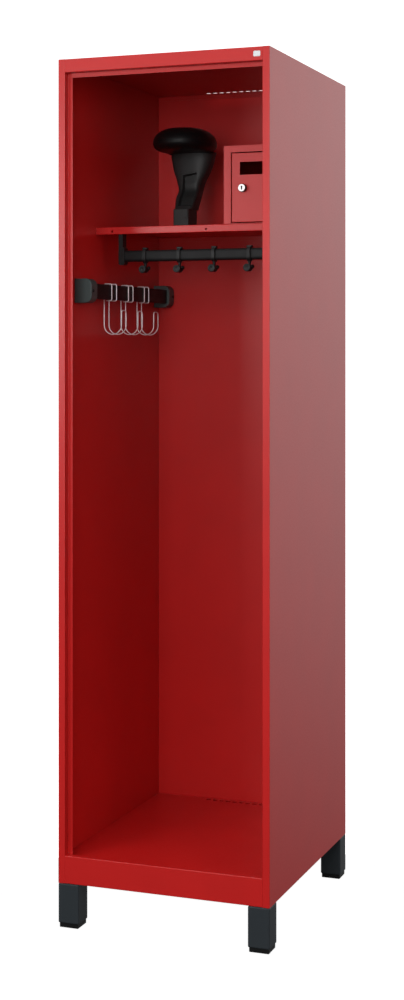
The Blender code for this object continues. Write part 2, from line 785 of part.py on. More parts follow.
# ---------------------------------------------------------------- valuables box
def valuables_box():
    box = box_part("valuables_box", (BOX_LEFT, SHELF_EDGE, BOX_BOTTOM),
                   (BOX_RIGHT, INNER_BACK, BOX_TOP), "shelf_paint")
    cut_box(box, (BOX_LEFT + SHEET, SHELF_EDGE + SHEET, BOX_BOTTOM + SHEET),
            (BOX_RIGHT - SHEET, INNER_BACK - SHEET, BOX_TOP - SHEET), "cavity")
    cut_box(box, (BOX_LEFT + BOX_FRAME, SHELF_EDGE - SHEET, BOX_BOTTOM + SHEET),
            (BOX_RIGHT - BOX_FRAME, SHELF_EDGE + 3 * SHEET, BOX_TOP - BOX_TOP_FRAME), "doorway")


def latch_strip():
    """Folded strip behind the left of the doorway that the lock's cam catches."""
    left = BOX_LEFT + BOX_FRAME - 3 * GAP
    front = SHELF_EDGE + SHEET + GAP
    back = SHELF_EDGE + LATCH_DEPTH
    outline = [
        (left, front), (left, back - SHEET), (left + LATCH_RETURN, back - SHEET),
        (left + LATCH_RETURN, back), (left - SHEET, back), (left - SHEET, front),
    ]
    prism_part("latch_strip", outline, "XY", BOX_BOTTOM + SHEET + GAP,
               BOX_TOP - SHEET - GAP, "shelf_paint")


def door_pivot():
    """Pivot rod inside the door's right edge, its top bracket and its bottom bush."""
    rod_bottom = BOX_BOTTOM + SHEET + GAP
    plate_bottom = BOX_TOP - BOX_TOP_FRAME + GAP
    rod_top = plate_bottom + BRACKET_SHEET + ROD_STANDS
    shape = bmesh.new()
    add_cylinder(shape, (PIVOT_X, PIVOT_Y, (rod_bottom + rod_top) / 2), PIVOT_RADIUS,
                 rod_top - rod_bottom, "Z")
    add_object("door_pivot_rod", mesh_from(shape, "door_pivot_rod"), "zinc")

    inner_right = BOX_RIGHT - SHEET - GAP
    bracket = box_part("pivot_bracket",
                       (PIVOT_X - BRACKET_LEFT, SHELF_EDGE + SHEET + GAP, plate_bottom),
                       (inner_right, SHELF_EDGE + BRACKET_BACK, plate_bottom + BRACKET_SHEET),
                       "shelf_paint")
    cut_cylinder(bracket, (PIVOT_X, PIVOT_Y, plate_bottom), PIVOT_RADIUS + GAP,
                 6 * BRACKET_SHEET, "Z", "rod_hole")

    bush_top = DOOR_BOTTOM - GAP
    shape = bmesh.new()
    add_cylinder(shape, (PIVOT_X, PIVOT_Y, (rod_bottom + bush_top) / 2), BUSH_RADIUS,
                 bush_top - rod_bottom, "Z")
    bush = add_object("pivot_bush", mesh_from(shape, "pivot_bush"), "black_plastic")
    cut_cylinder(bush, (PIVOT_X, PIVOT_Y, rod_bottom), PIVOT_RADIUS + GAP, 20 * MM, "Z",
                 "rod_hole")


def box_door():
    """Inset door, a folded tray that hangs on the pivot rod."""
    door = box_part("box_door", (DOOR_LEFT, SHELF_EDGE, DOOR_BOTTOM),
                    (DOOR_RIGHT, SHELF_EDGE + DOOR_THICKNESS, DOOR_TOP), "shelf_paint",
                    0.8 * MM, 2)
    cut_box(door, (DOOR_LEFT + SHEET, SHELF_EDGE + SHEET, DOOR_BOTTOM + SHEET),
            (DOOR_RIGHT - SHEET, SHELF_EDGE + 2 * DOOR_THICKNESS, DOOR_TOP - SHEET), "hollow")
    window_top = DOOR_TOP - WINDOW_FROM_TOP
    cut_box(door, (DOOR_LEFT + WINDOW_MARGIN, SHELF_EDGE - SHEET, window_top - WINDOW_HEIGHT),
            (DOOR_RIGHT - WINDOW_MARGIN, SHELF_EDGE + 3 * SHEET, window_top), "window")
    cut_cylinder(door, (LOCK_X, SHELF_EDGE, LOCK_Z), LOCK_BARREL_RADIUS + GAP, 6 * SHEET, "Y",
                 "lock_hole", FINE_SEGMENTS)
    cut_cylinder(door, (PIVOT_X, PIVOT_Y, (DOOR_BOTTOM + DOOR_TOP) / 2),
                 PIVOT_RADIUS + PIVOT_CLEARANCE, DOOR_TOP - DOOR_BOTTOM + 4 * SHEET, "Z",
                 "rod_holes")


def turned_along_y(shape, profile, x, z, segments=FINE_SEGMENTS):
    """Rings of (radius, y) about an axis along Y, lofted to one closed solid."""
    rings = []
    for radius, y in profile:
        ring = []
        for index in range(segments):
            angle = math.tau * index / segments
            ring.append((x + radius * math.cos(angle), y, z + radius * math.sin(angle)))
        rings.append(ring)
    loft(shape, rings)


def cam_lock():
    """Cam lock: housing, nut, turning plug with its face, cam and cam screw."""
    seat = SHELF_EDGE - GAP
    front = SHELF_EDGE - LOCK_PROUD
    barrel_end = SHELF_EDGE + LOCK_BARREL
    shape = bmesh.new()
    turned_along_y(shape, [
        (LOCK_COLLAR_RADIUS - 0.8 * MM, front), (LOCK_COLLAR_RADIUS, front + 1.2 * MM),
        (LOCK_COLLAR_RADIUS, seat), (LOCK_BARREL_RADIUS, seat), (LOCK_BARREL_RADIUS, barrel_end),
    ], LOCK_X, LOCK_Z)
    housing = add_object("lock_housing", mesh_from(shape, "lock_housing"), "black_plastic")
    cut_cylinder(housing, (LOCK_X, SHELF_EDGE, LOCK_Z), LOCK_PLUG_RADIUS + LOCK_CLEARANCE,
                 6 * LOCK_BARREL, "Y", "bore", FINE_SEGMENTS)

    nut_front = SHELF_EDGE + SHEET + GAP
    shape = bmesh.new()
    add_cylinder(shape, (LOCK_X, nut_front + LOCK_NUT / 2, LOCK_Z),
                 LOCK_NUT_FLATS / 2 / math.cos(math.radians(30)), LOCK_NUT, "Y", 6)
    nut = add_object("lock_nut", mesh_from(shape, "lock_nut"), "zinc")
    cut_cylinder(nut, (LOCK_X, nut_front, LOCK_Z), LOCK_BARREL_RADIUS + GAP, 6 * LOCK_NUT, "Y",
                 "thread", FINE_SEGMENTS)

    face_back = front - LOCK_CLEARANCE
    face_front = face_back - LOCK_FACE
    plug_end = barrel_end + GAP
    shape = bmesh.new()
    turned_along_y(shape, [
        (LOCK_FACE_RADIUS - 0.5 * MM, face_front), (LOCK_FACE_RADIUS, face_front + 0.5 * MM),
        (LOCK_FACE_RADIUS, face_back), (LOCK_PLUG_RADIUS, face_back),
        (LOCK_PLUG_RADIUS, plug_end),
    ], LOCK_X, LOCK_Z)
    plug = add_object("lock_plug", mesh_from(shape, "lock_plug"), "chrome")
    shape = bmesh.new()
    outline = rounded_outline(KEYHOLE_WIDTH, KEYHOLE_HEIGHT, KEYHOLE_WIDTH / 2 - FLUSH, 2)
    prism(shape, shifted(outline, LOCK_X, LOCK_Z), "XZ", face_front - SHEET,
          face_front + KEYHOLE_DEPTH)
    boolean(plug, cutter_from(shape, "lock_plug_keyhole"))
    cut_cylinder(plug, (LOCK_X, plug_end, LOCK_Z), SCREW_RADIUS + GAP, 14 * MM, "Y",
                 "screw_hole")

    cam_front = plug_end + GAP
    outline = rounded_outline(CAM_WIDTH, CAM_LENGTH + CAM_WIDTH / 2, CAM_WIDTH / 2 - FLUSH)
    middle = -(CAM_LENGTH - CAM_WIDTH / 2) / 2
    cam = prism_part("lock_cam", shifted(outline, LOCK_X, LOCK_Z + middle), "XZ", cam_front,
                     cam_front + CAM_SHEET, "zinc")
    cut_cylinder(cam, (LOCK_X, cam_front, LOCK_Z), SCREW_RADIUS + GAP, 6 * CAM_SHEET, "Y",
                 "screw_hole")
    screw("cam_screw", (LOCK_X, cam_front + CAM_SHEET, LOCK_Z), (0, 1, 0), CAM_SCREW)


# ---------------------------------------------------------------- coat rail
def coat_rail():
    outline = shifted(rounded_outline(RAIL_THICKNESS, RAIL_HEIGHT, RAIL_THICKNESS / 2 - RAIL_FLAT),
                      RAIL_Y, RAIL_Z)
    prism_part("coat_rail", outline, "YZ", -RAIL_HALF, RAIL_HALF, "satin_plastic")


def rail_bracket(shelf_part, label, hand):
    """Moulded bracket: flange under the shelf, tapered leg and a socket for the rail."""
    name = "rail_bracket_" + label
    top = SHELF_TOP - SHEET - GAP
    outer = RAIL_HALF + BRACKET_COVER
    inner = outer - BRACKET_SOCKET
    socket_top = RAIL_TOP + SOCKET_WALL
    socket_bottom = RAIL_TOP - RAIL_HEIGHT - SOCKET_FLOOR
    leg_top = top - BRACKET_FLANGE_THICKNESS
    outline = [
        (inner, socket_bottom + BRACKET_CHAMFER), (inner, socket_top),
        (outer - BRACKET_LEG, socket_top + BRACKET_CHAMFER),
        (outer - BRACKET_LEG, leg_top - BRACKET_TAPER), (outer - BRACKET_HEAD, leg_top),
        (outer - BRACKET_HEAD, top), (outer + BRACKET_HEAD_LIP, top),
        (outer + BRACKET_HEAD_LIP, leg_top), (outer, leg_top - BRACKET_TAPER),
        (outer, socket_bottom + BRACKET_CHAMFER), (outer - BRACKET_CHAMFER, socket_bottom),
        (inner + BRACKET_CHAMFER, socket_bottom),
    ]
    front = RAIL_Y - BRACKET_FRONT
    bracket = prism_part(name, [(hand * x, z) for x, z in outline], "XZ", front,
                         RAIL_Y + BRACKET_REAR, "black_plastic")

    pocket = rounded_outline(RAIL_THICKNESS + 2 * GAP, RAIL_HEIGHT + 2 * GAP,
                             RAIL_THICKNESS / 2 - RAIL_FLAT + GAP, SOCKET_SEGMENTS)
    shape = bmesh.new()
    prism(shape, shifted(pocket, RAIL_Y, RAIL_Z), "YZ", hand * (RAIL_HALF - 2 * SOCKET_OVERLAP),
          hand * (RAIL_HALF + GAP))
    boolean(bracket, cutter_from(shape, name + "_socket"))

    flange_front = front + SHEET
    flange_back = flange_front + BRACKET_FLANGE_DEPTH
    flange_bottom = leg_top + FLANGE_STEP
    low_x, high_x = sorted((hand * (outer - BRACKET_FLANGE), hand * (outer + SHEET)))
    shape = bmesh.new()
    add_box(shape, (low_x, flange_front, flange_bottom), (high_x, flange_back, top - GAP))
    boolean(bracket, cutter_from(shape, name + "_flange"), "UNION")

    x = (low_x + high_x) / 2
    y = flange_back - BRACKET_SCREW_INSET
    cut_cylinder(bracket, (x, y, top), SCREW_HOLE, 4 * BRACKET_FLANGE_THICKNESS, "Z",
                 "screw_hole")
    cut_cylinder(shelf_part, (x, y, SHELF_TOP), SCREW_HOLE, 8 * SHEET, "Z", name + "_hole")
    screw("bracket_screw_" + label, (x, y, flange_bottom), (0, 0, -1), SHELF_TOP - flange_bottom)


def rail_hook(number, x):
    """Sliding double hook: a capped clip round the rail, a neck and two prongs."""
    name = "rail_hook_%d" % number
    clear = CLIP_CLEARANCE
    outer = rounded_outline(RAIL_THICKNESS + 2 * (clear + CLIP_WALL),
                            RAIL_HEIGHT + 2 * (clear + CLIP_WALL),
                            RAIL_THICKNESS / 2 + CLIP_WALL, 3)
    shape = bmesh.new()
    prism(shape, shifted(outer, RAIL_Y, RAIL_Z), "YZ", x - HOOK_WIDTH / 2, x + HOOK_WIDTH / 2)
    hook = add_object(name, mesh_from(shape, name), "black_plastic")

    low = RAIL_TOP - RAIL_HEIGHT - PRONG_DROP + PRONG_RADIUS
    neck_top = RAIL_TOP - RAIL_HEIGHT - clear - CLIP_WALL / 2
    shape = bmesh.new()
    add_box(shape, (x - NECK_WIDTH / 2, RAIL_Y - NECK_DEPTH / 2, low - PRONG_RADIUS / 2),
            (x + NECK_WIDTH / 2, RAIL_Y + NECK_DEPTH / 2, neck_top))
    boolean(hook, cutter_from(shape, name + "_neck"), "UNION")

    # Two prongs as one smiling arc through the foot of the neck
    half_angle = 2 * math.atan2(PRONG_RISE, PRONG_SPAN)
    arc_radius = PRONG_SPAN / math.sin(half_angle)
    path = []
    for step in range(PRONG_SEGMENTS + 1):
        angle = half_angle * (2 * step / PRONG_SEGMENTS - 1)
        path.append((x, RAIL_Y + arc_radius * math.sin(angle),
                     low + arc_radius * (1 - math.cos(angle))))
    prongs = wire_curve(name + "_prongs", path, PRONG_RADIUS)
    CUTTERS.objects.link(prongs)
    mesh = baked_mesh(prongs, name + "_prongs")
    cutter = bpy.data.objects.new(name + "_prongs", mesh)
    cutter.hide_render = True
    cutter.display_type = "WIRE"
    CUTTERS.objects.link(cutter)
    boolean(hook, cutter, "UNION")

    shape = bmesh.new()
    bmesh.ops.create_uvsphere(shape, u_segments=8, v_segments=6, radius=PRONG_BALL,
                              matrix=Matrix.Translation(path[-1]))
    boolean(hook, cutter_from(shape, name + "_rear_ball"), "UNION")
    button_z = path[0][2] - BUTTON_DROP
    shape = bmesh.new()
    add_cylinder(shape, (x, path[0][1], button_z), BUTTON_RADIUS, BUTTON, "Y", 12)
    boolean(hook, cutter_from(shape, name + "_button"), "UNION")
    cut_cylinder(hook, (x, path[0][1] - BUTTON / 2, button_z), BUTTON_DIMPLE,
                 2 * BUTTON_DIMPLE_DEPTH, "Y", "dimple", 8)
    clip_top = RAIL_TOP + clear + CLIP_WALL
    shape = bmesh.new()
    add_box(shape, (x - CLIP_CAP_WIDTH / 2, RAIL_Y - CLIP_CAP_LENGTH / 2, clip_top - CLIP_CAP),
            (x + CLIP_CAP_WIDTH / 2, RAIL_Y + CLIP_CAP_LENGTH / 2, clip_top + CLIP_CAP))
    boolean(hook, cutter_from(shape, name + "_cap"), "UNION")

    inner = rounded_outline(RAIL_THICKNESS + 2 * clear, RAIL_HEIGHT + 2 * clear,
                            RAIL_THICKNESS / 2 - RAIL_FLAT + clear, 3)
    shape = bmesh.new()
    prism(shape, shifted(inner, RAIL_Y, RAIL_Z), "YZ", x - HOOK_WIDTH, x + HOOK_WIDTH)
    boolean(hook, cutter_from(shape, name + "_rail_hole"))
    hook_origin(hook, (x, RAIL_Y, RAIL_Z))


def hook_origin(part, place):
    """Move an object's origin onto its joint without moving its mesh in the world."""
    part.data.transform(Matrix.Translation(-Vector(place)))
    part.location = place


# ---------------------------------------------------------------- side bar
def console(label, front, pocket_from, pocket_to):
    """D-shaped console on the left wall with a pocket for the bar's end."""
    right = WALL_FACE + GAP + CONSOLE_REACH
    left = WALL_FACE + GAP
    half = CONSOLE_HEIGHT / 2
    corner = CONSOLE_CORNER
    outline = [(left, BAR_Z - half)]
    for quarter in (-1, 0):
        center = (right - corner, BAR_Z + (half - corner) * (1 if quarter == 0 else -1))
        for step in range(CONSOLE_SEGMENTS + 1):
            angle = math.radians(90) * (quarter + step / CONSOLE_SEGMENTS)
            outline.append((center[0] + corner * math.cos(angle),
                            center[1] + corner * math.sin(angle)))
    outline.append((left, BAR_Z + half))
    name = "bar_console_" + label
    part = prism_part(name, outline, "XZ", front, front + CONSOLE_LENGTH, "satin_plastic",
                      1.5 * MM, 2)
    cut_box(part, (BAR_X - BAR_THICKNESS / 2 - GAP, pocket_from, BAR_Z - BAR_HEIGHT / 2 - GAP),
            (BAR_X + BAR_THICKNESS / 2 + GAP, pocket_to, BAR_Z + BAR_HEIGHT / 2 + GAP), "pocket")
    if pocket_from > front:
        screw_y = (front + pocket_from) / 2
    else:
        screw_y = (pocket_to + front + CONSOLE_LENGTH) / 2
    seat = (right, screw_y, BAR_Z)
    cut_cylinder(part, seat, SCREW_HOLE, 4 * CONSOLE_REACH, "X", "screw_hole")
    screw("console_screw_" + label, seat, (1, 0, 0), CONSOLE_REACH)


def wire_path(center_y, hand):
    """Half of a wire hook, from the end of its wrap to the middle of its tip."""
    reach_x = BAR_THICKNESS / 2 + WIRE_CLEARANCE + WIRE_RADIUS
    reach_z = BAR_HEIGHT / 2 + WIRE_CLEARANCE + WIRE_RADIUS
    left = BAR_X - reach_x
    right = BAR_X + reach_x
    top = BAR_Z + reach_z
    bottom = BAR_Z - reach_z
    low = BAR_Z - BAR_HEIGHT / 2 - WIRE_DROP
    flat = [(left + WIRE_TAIL, bottom), (right, bottom), (right, top), (left, top)]
    wrap = fillet(flat + [(left, bottom)], [WIRE_CORNER] * 3)[:-1]
    bow = []
    radius = WIRE_BOW / 2
    for step in range(BOW_SEGMENTS + 1):
        angle = math.pi * (1 + step / BOW_SEGMENTS)
        bow.append(Vector((left + radius + radius * math.cos(angle),
                           low + radius + radius * math.sin(angle))))
    y = center_y + hand * WIRE_SPREAD / 2
    points = [Vector((point.x, y, point.y)) for point in wrap + bow]
    tip_z = low + WIRE_TIP
    corner = WIRE_TIP_CORNER
    for step in range(BEND_SEGMENTS + 1):
        angle = math.radians(90) * step / BEND_SEGMENTS
        points.append(Vector((left + WIRE_BOW, y - hand * corner * (1 - math.cos(angle)),
                              tip_z - corner + corner * math.sin(angle))))
    return points


def wire_hook(number, center_y):
    """Bent-wire hook: two parallel wires round the bar, joined over the tip."""
    name = "wire_hook_%d" % number
    near = wire_path(center_y, -1)
    far = wire_path(center_y, 1)
    item = wire_curve(name, near + far[::-1], WIRE_RADIUS)
    CUTTERS.objects.link(item)
    hook = add_object(name, baked_mesh(item, name), "chrome")
    hook_origin(hook, (BAR_X, center_y, BAR_Z))


def side_bar():
    rear_front = INNER_BACK - CONSOLE_LENGTH
    front_pocket = BAR_START - CONSOLE_POCKET
    rear_pocket = rear_front + CONSOLE_POCKET
    console("front", CONSOLE_FRONT, front_pocket, BAR_START + CONSOLE_POCKET)
    console("rear", rear_front, rear_front - CONSOLE_POCKET, rear_pocket)
    outline = shifted(rounded_outline(BAR_THICKNESS, BAR_HEIGHT, 3 * MM, 3), BAR_X, BAR_Z)
    prism_part("side_bar", outline, "XZ", front_pocket + GAP, rear_pocket - GAP, "satin_plastic")
    first = BAR_START + WIRE_HOOK_FIRST
    for index in range(WIRE_HOOK_COUNT):
        wire_hook(index + 1, first + index * WIRE_HOOK_PITCH)


# ---------------------------------------------------------------- helmet holder
def holder_base(shelf_part):
    half_width = HOLDER_BASE_WIDTH / 2
    half_length = HOLDER_BASE_LENGTH / 2
    bottom = SHELF_TOP + GAP
    base = box_part("holder_base", (HOLDER_X - half_width, HOLDER_Y - half_length, bottom),
                    (HOLDER_X + half_width, HOLDER_Y + half_length, bottom + HOLDER_BASE_HEIGHT),
                    "satin_plastic", 2 * MM, 2)
    cut_cylinder(base, (HOLDER_X, HOLDER_Y, bottom), SCREW_HOLE, 3 * HOLDER_SCREW, "Z", "screw_hole")
    cut_cylinder(shelf_part, (HOLDER_X, HOLDER_Y, SHELF_TOP), SCREW_HOLE, 8 * SHEET, "Z",
                 "holder_hole")
    screw("holder_screw", (HOLDER_X, HOLDER_Y, SHELF_TOP - SHEET), (0, 0, -1), HOLDER_SCREW)

    tab_right = HOLDER_X + half_width - TAB_FROM_RIGHT
    tab_back = HOLDER_Y - half_length - GAP
    tab_top = bottom + HOLDER_BASE_HEIGHT - TAB_FROM_TOP
    box_part("holder_latch", (tab_right - TAB_WIDTH, tab_back - TAB_THICKNESS, tab_top - TAB_HEIGHT),
             (tab_right, tab_back, tab_top), "satin_plastic", 0.8 * MM, 2)


def holder_column():
    """Column that grows out of the base, narrows to a waist and opens into a funnel."""
    low = SHELF_TOP + HOLDER_BASE_HEIGHT + 2 * GAP
    high = SHELF_TOP + HOLDER_HEIGHT - REST_TOP - REST_BOTTOM + REST_SEAT - GAP
    stations = (
        # share of height, share of lean, width, length, power
        (0.00, 0.19, COLUMN_FOOT_WIDTH, HOLDER_BASE_LENGTH, 5.0),
        (0.20, 0.43, COLUMN_WAIST_WIDTH, COLUMN_WAIST_LENGTH * 1.04, 4.5),
        (0.34, 0.70, COLUMN_WAIST_WIDTH, COLUMN_WAIST_LENGTH, 4.0),
        (0.48, 0.76, COLUMN_WAIST_WIDTH * 1.2, COLUMN_WAIST_LENGTH * 1.04, 3.6),
        (0.66, 0.87, COLUMN_TOP_WIDTH * 0.78, COLUMN_TOP_LENGTH * 0.86, 3.2),
        (0.84, 0.96, COLUMN_TOP_WIDTH * 0.92, COLUMN_TOP_LENGTH * 0.95, 2.8),
        (1.00, 1.00, COLUMN_TOP_WIDTH, COLUMN_TOP_LENGTH, COLUMN_TOP_POWER),
    )
    shape = bmesh.new()
    rings = []
    for rise, lean, width, length, power in stations:
        rings.append(superellipse(HOLDER_X, HOLDER_Y + COLUMN_LEAN * lean,
                                  low + (high - low) * rise, width, length, power))
    loft(shape, rings)
    column = add_object("holder_column", mesh_from(shape, "holder_column"), "satin_plastic")
    column_recess(column, stations, low, high)


def column_recess(column, stations, low, high):
    """Finger recess that follows the front of the column at an even depth."""
    rises = [station[0] for station in stations]
    x = HOLDER_X + RECESS_SHIFT
    rings = []
    for step in range(RECESS_STEPS + 1):
        rise = RECESS_START + (RECESS_END - RECESS_START) * step / RECESS_STEPS
        lean = float(np.interp(rise, rises, [station[1] for station in stations]))
        length = float(np.interp(rise, rises, [station[3] for station in stations]))
        floor_y = HOLDER_Y + COLUMN_LEAN * lean - length / 2 + RECESS_DEPTH
        z = low + (high - low) * rise
        rings.append([
            (x + hand * RECESS_WIDTH / 2, y, z)
            for hand, y in ((-1, floor_y - COLUMN_TOP_LENGTH), (1, floor_y - COLUMN_TOP_LENGTH),
                            (1, floor_y), (-1, floor_y))
        ])
    shape = bmesh.new()
    loft(shape, rings)
    boolean(column, cutter_from(shape, "holder_column_recess"))


def helmet_rest():
    """Rounded pad that the helmet sits on, with a seat for the column in its underside."""
    middle = SHELF_TOP + HOLDER_HEIGHT - REST_TOP
    rings = []
    for step in range(1, REST_LOWER_RINGS + 1):
        angle = math.radians(90) * step / (REST_LOWER_RINGS + 1)
        scale = math.sin(angle) ** REST_LOWER_POWER
        z = middle - REST_BOTTOM * math.cos(angle)
        rings.append(rest_ring(z, scale))
    for step in range(REST_UPPER_RINGS):
        angle = math.radians(90) * step / REST_UPPER_RINGS
        scale = math.cos(angle) ** REST_UPPER_POWER
        rings.append(rest_ring(middle + REST_TOP * math.sin(angle), scale))
    shape = bmesh.new()
    loft(shape, rings)
    rest = add_object("helmet_rest", mesh_from(shape, "helmet_rest"), "black_plastic")

    seat_top = rings[0][0][2] + REST_SEAT
    shape = bmesh.new()
    loft(shape, [
        superellipse(HOLDER_X, HOLDER_Y + COLUMN_LEAN, z, COLUMN_TOP_WIDTH + 2 * GAP,
                     COLUMN_TOP_LENGTH + 2 * GAP, COLUMN_TOP_POWER)
        for z in (middle - 2 * REST_BOTTOM, seat_top)
    ])
    boolean(rest, cutter_from(shape, "helmet_rest_seat"))


def rest_ring(z, scale):
    return superellipse(HOLDER_X, HOLDER_Y, z, REST_WIDTH * scale, REST_LENGTH * scale,
                        REST_OUTLINE_POWER)


def build():
    body()
    feet()
    shelf_part = shelf()
    valuables_box()
    latch_strip()
    door_pivot()
    box_door()
    cam_lock()
    coat_rail()
    rail_bracket(shelf_part, "left", -1)
    rail_bracket(shelf_part, "right", 1)
    first = -HOOK_PITCH * (HOOK_COUNT - 1) / 2
    for index in range(HOOK_COUNT):
        rail_hook(index + 1, first + index * HOOK_PITCH)
    side_bar()
    holder_base(shelf_part)
    holder_column()
    helmet_rest()


build()
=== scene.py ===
"""Looks of the open-front fire brigade locker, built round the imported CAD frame.

Metres, +Z up, origin on the ground under the middle of the body, open front to -Y.
"""

import json
import math

import bmesh
import bpy
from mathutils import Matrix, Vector


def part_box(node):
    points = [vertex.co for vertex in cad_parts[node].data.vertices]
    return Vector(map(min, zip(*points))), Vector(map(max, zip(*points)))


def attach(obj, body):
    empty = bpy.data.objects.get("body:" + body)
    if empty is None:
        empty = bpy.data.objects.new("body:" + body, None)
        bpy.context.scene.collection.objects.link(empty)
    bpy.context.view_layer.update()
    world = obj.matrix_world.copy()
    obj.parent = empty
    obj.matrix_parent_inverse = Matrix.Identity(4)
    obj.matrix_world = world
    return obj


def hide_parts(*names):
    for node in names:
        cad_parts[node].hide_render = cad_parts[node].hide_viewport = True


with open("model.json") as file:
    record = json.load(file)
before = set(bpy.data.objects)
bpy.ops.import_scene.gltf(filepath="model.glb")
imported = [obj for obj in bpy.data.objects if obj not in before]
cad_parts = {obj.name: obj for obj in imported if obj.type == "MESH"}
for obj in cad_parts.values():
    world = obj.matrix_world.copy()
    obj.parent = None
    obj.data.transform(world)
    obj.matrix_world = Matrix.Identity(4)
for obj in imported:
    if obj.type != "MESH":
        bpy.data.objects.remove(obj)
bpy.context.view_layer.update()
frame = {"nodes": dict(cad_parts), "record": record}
NODES = frame["nodes"]

MM = 0.001

# Paint and plastic colours, linear
RED = (0.56, 0.011, 0.010)
ANTHRACITE = (0.029, 0.035, 0.040)
BLACK = (0.0065, 0.0068, 0.007)
PAD_BLACK = (0.0040, 0.0040, 0.0045)
HOLDER_BLACK = (0.021, 0.0215, 0.0215)
RAIL_GREY = (0.0055, 0.0055, 0.006)
CONSOLE_GREY = (0.048, 0.066, 0.065)
ZINC = (0.58, 0.58, 0.56)
# Satin nickel whose pink tint is a painted reflection of the red paint around the hooks
WIRE_NICKEL_RED_REFLECTION = (0.82, 0.76, 0.77)
LOCK_NICKEL = (0.95, 0.95, 0.95)
PALE = (0.70, 0.71, 0.72)

# Helmet pad: a squashed round form, rings from its seat over its widest line to its crown
REST_MIDDLE = 39 * MM           # crown to the widest line
REST_DEPTH = 19 * MM            # widest line to the underside
REST_SEAT = 4 * MM              # depth of the seat for the column
REST_POWER = 2.15               # superellipse power of its outline
REST_START = 18                 # degrees from straight down at which the underside starts
REST_LOWER_BULGE = 0.32         # the smaller, the fuller its lower half
REST_UPPER_BULGE = 0.62         # the same of its upper half
REST_LOWER_STEPS = 12
REST_UPPER_STEPS = 30
PARTING_GROOVE = 0.35 * MM      # depth of the groove on the widest line
PARTING_HALF = 0.4 * MM         # half its width
SEAT_AIR = 0.3 * MM

# Holder column
COLUMN_LEAN = 58 * MM           # how far its top stands behind its foot
COLUMN_STATIONS = (
    # share of height, share of lean, width, length, power
    (0.00, 0.19, 46 * MM, 60 * MM, 5.0),
    (0.20, 0.43, 54 * MM, 54 * MM, 4.5),
    (0.34, 0.70, 54 * MM, 52 * MM, 4.0),
    (0.48, 0.76, 65 * MM, 54 * MM, 3.6),
    (0.66, 0.87, 87 * MM, 60 * MM, 3.2),
    (0.84, 0.96, 103 * MM, 66.5 * MM, 2.8),
    (1.00, 1.00, 112 * MM, 70 * MM, 2.6),
)
COLUMN_TOP = COLUMN_STATIONS[-1][2:]
COLUMN_ROWS = 144
COLUMN_POINTS = 256             # round each row
RECESS_WIDTH = 36 * MM
RECESS_SHIFT = 4 * MM           # from the column's middle to the right
RECESS_RISE = (0.05, 0.62)      # shares of the column's height
RECESS_SLANT = 0.16             # rise of its top edge towards the right
RECESS_EDGE = 3.0 * MM          # width of its rounded rim
RECESS_DEPTH = 12 * MM
RECESS_FADE = 0.25              # share of the column's length over which its front begins

# Wire hooks on the side bar
WIRE_RADIUS = 1.3 * MM
WIRE_AIR = 1.0 * MM             # between wire and bar
WIRE_TAIL = 5 * MM              # straight end under the bar
WIRE_BEND = 4.5 * MM
WIRE_BEND_STEPS = 8
WIRE_BOW = 44.4 * MM            # across the hook's bow
WIRE_BOW_STEPS = 24
WIRE_TIP = 56 * MM              # bottom of the bow to the tip
WIRE_TIP_BEND = 8 * MM
WIRE_TIP_STEPS = 8
WIRE_END = 0.55                 # radius of the wire's rounded ends, as a share
WIRE_SIDES = 16

# Coat hooks on the rail
RAIL_FLAT = 0.5 * MM            # half the flat between the rail's rounded edges
HOOK_WIDTH = 9 * MM
CLIP_WALL = 3.5 * MM
CLIP_AIR = 0.5 * MM             # between clip and rail
CLIP_EASE = 0.7 * MM
CLIP_CORNER_STEPS = 8
CAP_WIDTH = 13 * MM
CAP_LENGTH = 12 * MM
CAP_RISE = 2 * MM
CAP_EASE = 0.8 * MM
CAP_CORNER = 2 * MM
NECK_SECTIONS = (
    # share of height, width, length
    (0.0, 6.4 * MM, 8.0 * MM),
    (0.3, 5.4 * MM, 6.8 * MM),
    (0.7, 5.4 * MM, 6.8 * MM),
    (1.0, 7.4 * MM, 9.0 * MM),
)
NECK_CORNER = 2.2 * MM
PRONG_SPAN = 19 * MM            # middle of the rail to each prong's end
PRONG_DROP = 27 * MM            # rail's underside to the lowest point
PRONG_RISE = 9 * MM
PRONG_RADIUS = 3.4 * MM
PRONG_TAPER = 0.5 * MM
PRONG_STEPS = 24
PRONG_SIDES = 16
PRONG_BALL = 4.8 * MM
BALL_REACH = 84                 # degrees of latitude at which its caps close
BALL_STEPS = 12
BALL_SIDES = 24
BUTTON_RADIUS = 9 * MM
BUTTON_DROP = 4 * MM            # its middle below the prong's end
BUTTON_SIDES = 32
BUTTON_PROFILE = (
    # radius and place along the axis: back, rim, dished face
    (BUTTON_RADIUS - 0.8 * MM, -2.5 * MM),
    (BUTTON_RADIUS, -1.7 * MM),
    (BUTTON_RADIUS, 1.4 * MM),
    (BUTTON_RADIUS - 0.4 * MM, 2.1 * MM),
    (BUTTON_RADIUS - 1.2 * MM, 2.5 * MM),
    (4.9 * MM, 2.5 * MM),
    (4.5 * MM, 2.2 * MM),
    (4.1 * MM, 1.2 * MM),
    (2.0 * MM, 1.0 * MM),
    (0.6 * MM, 1.0 * MM),
)

# Weld seams at the corners of the front frame
SEAM_WIDTH = 0.7 * MM
SEAM_BACK = 0.9 * MM            # how deep they reach behind the front face
SEAM_CROWN = 0.12 * MM          # how proud of it they stand
SEAM_END = 0.6 * MM             # short of the rail's edges
SEAM_STEPS = 8                  # round the bead
HALF_GAP = 0.15 * MM            # half the gap that a seam closes
HEADER_FACE = 30 * MM           # height of the header's front face
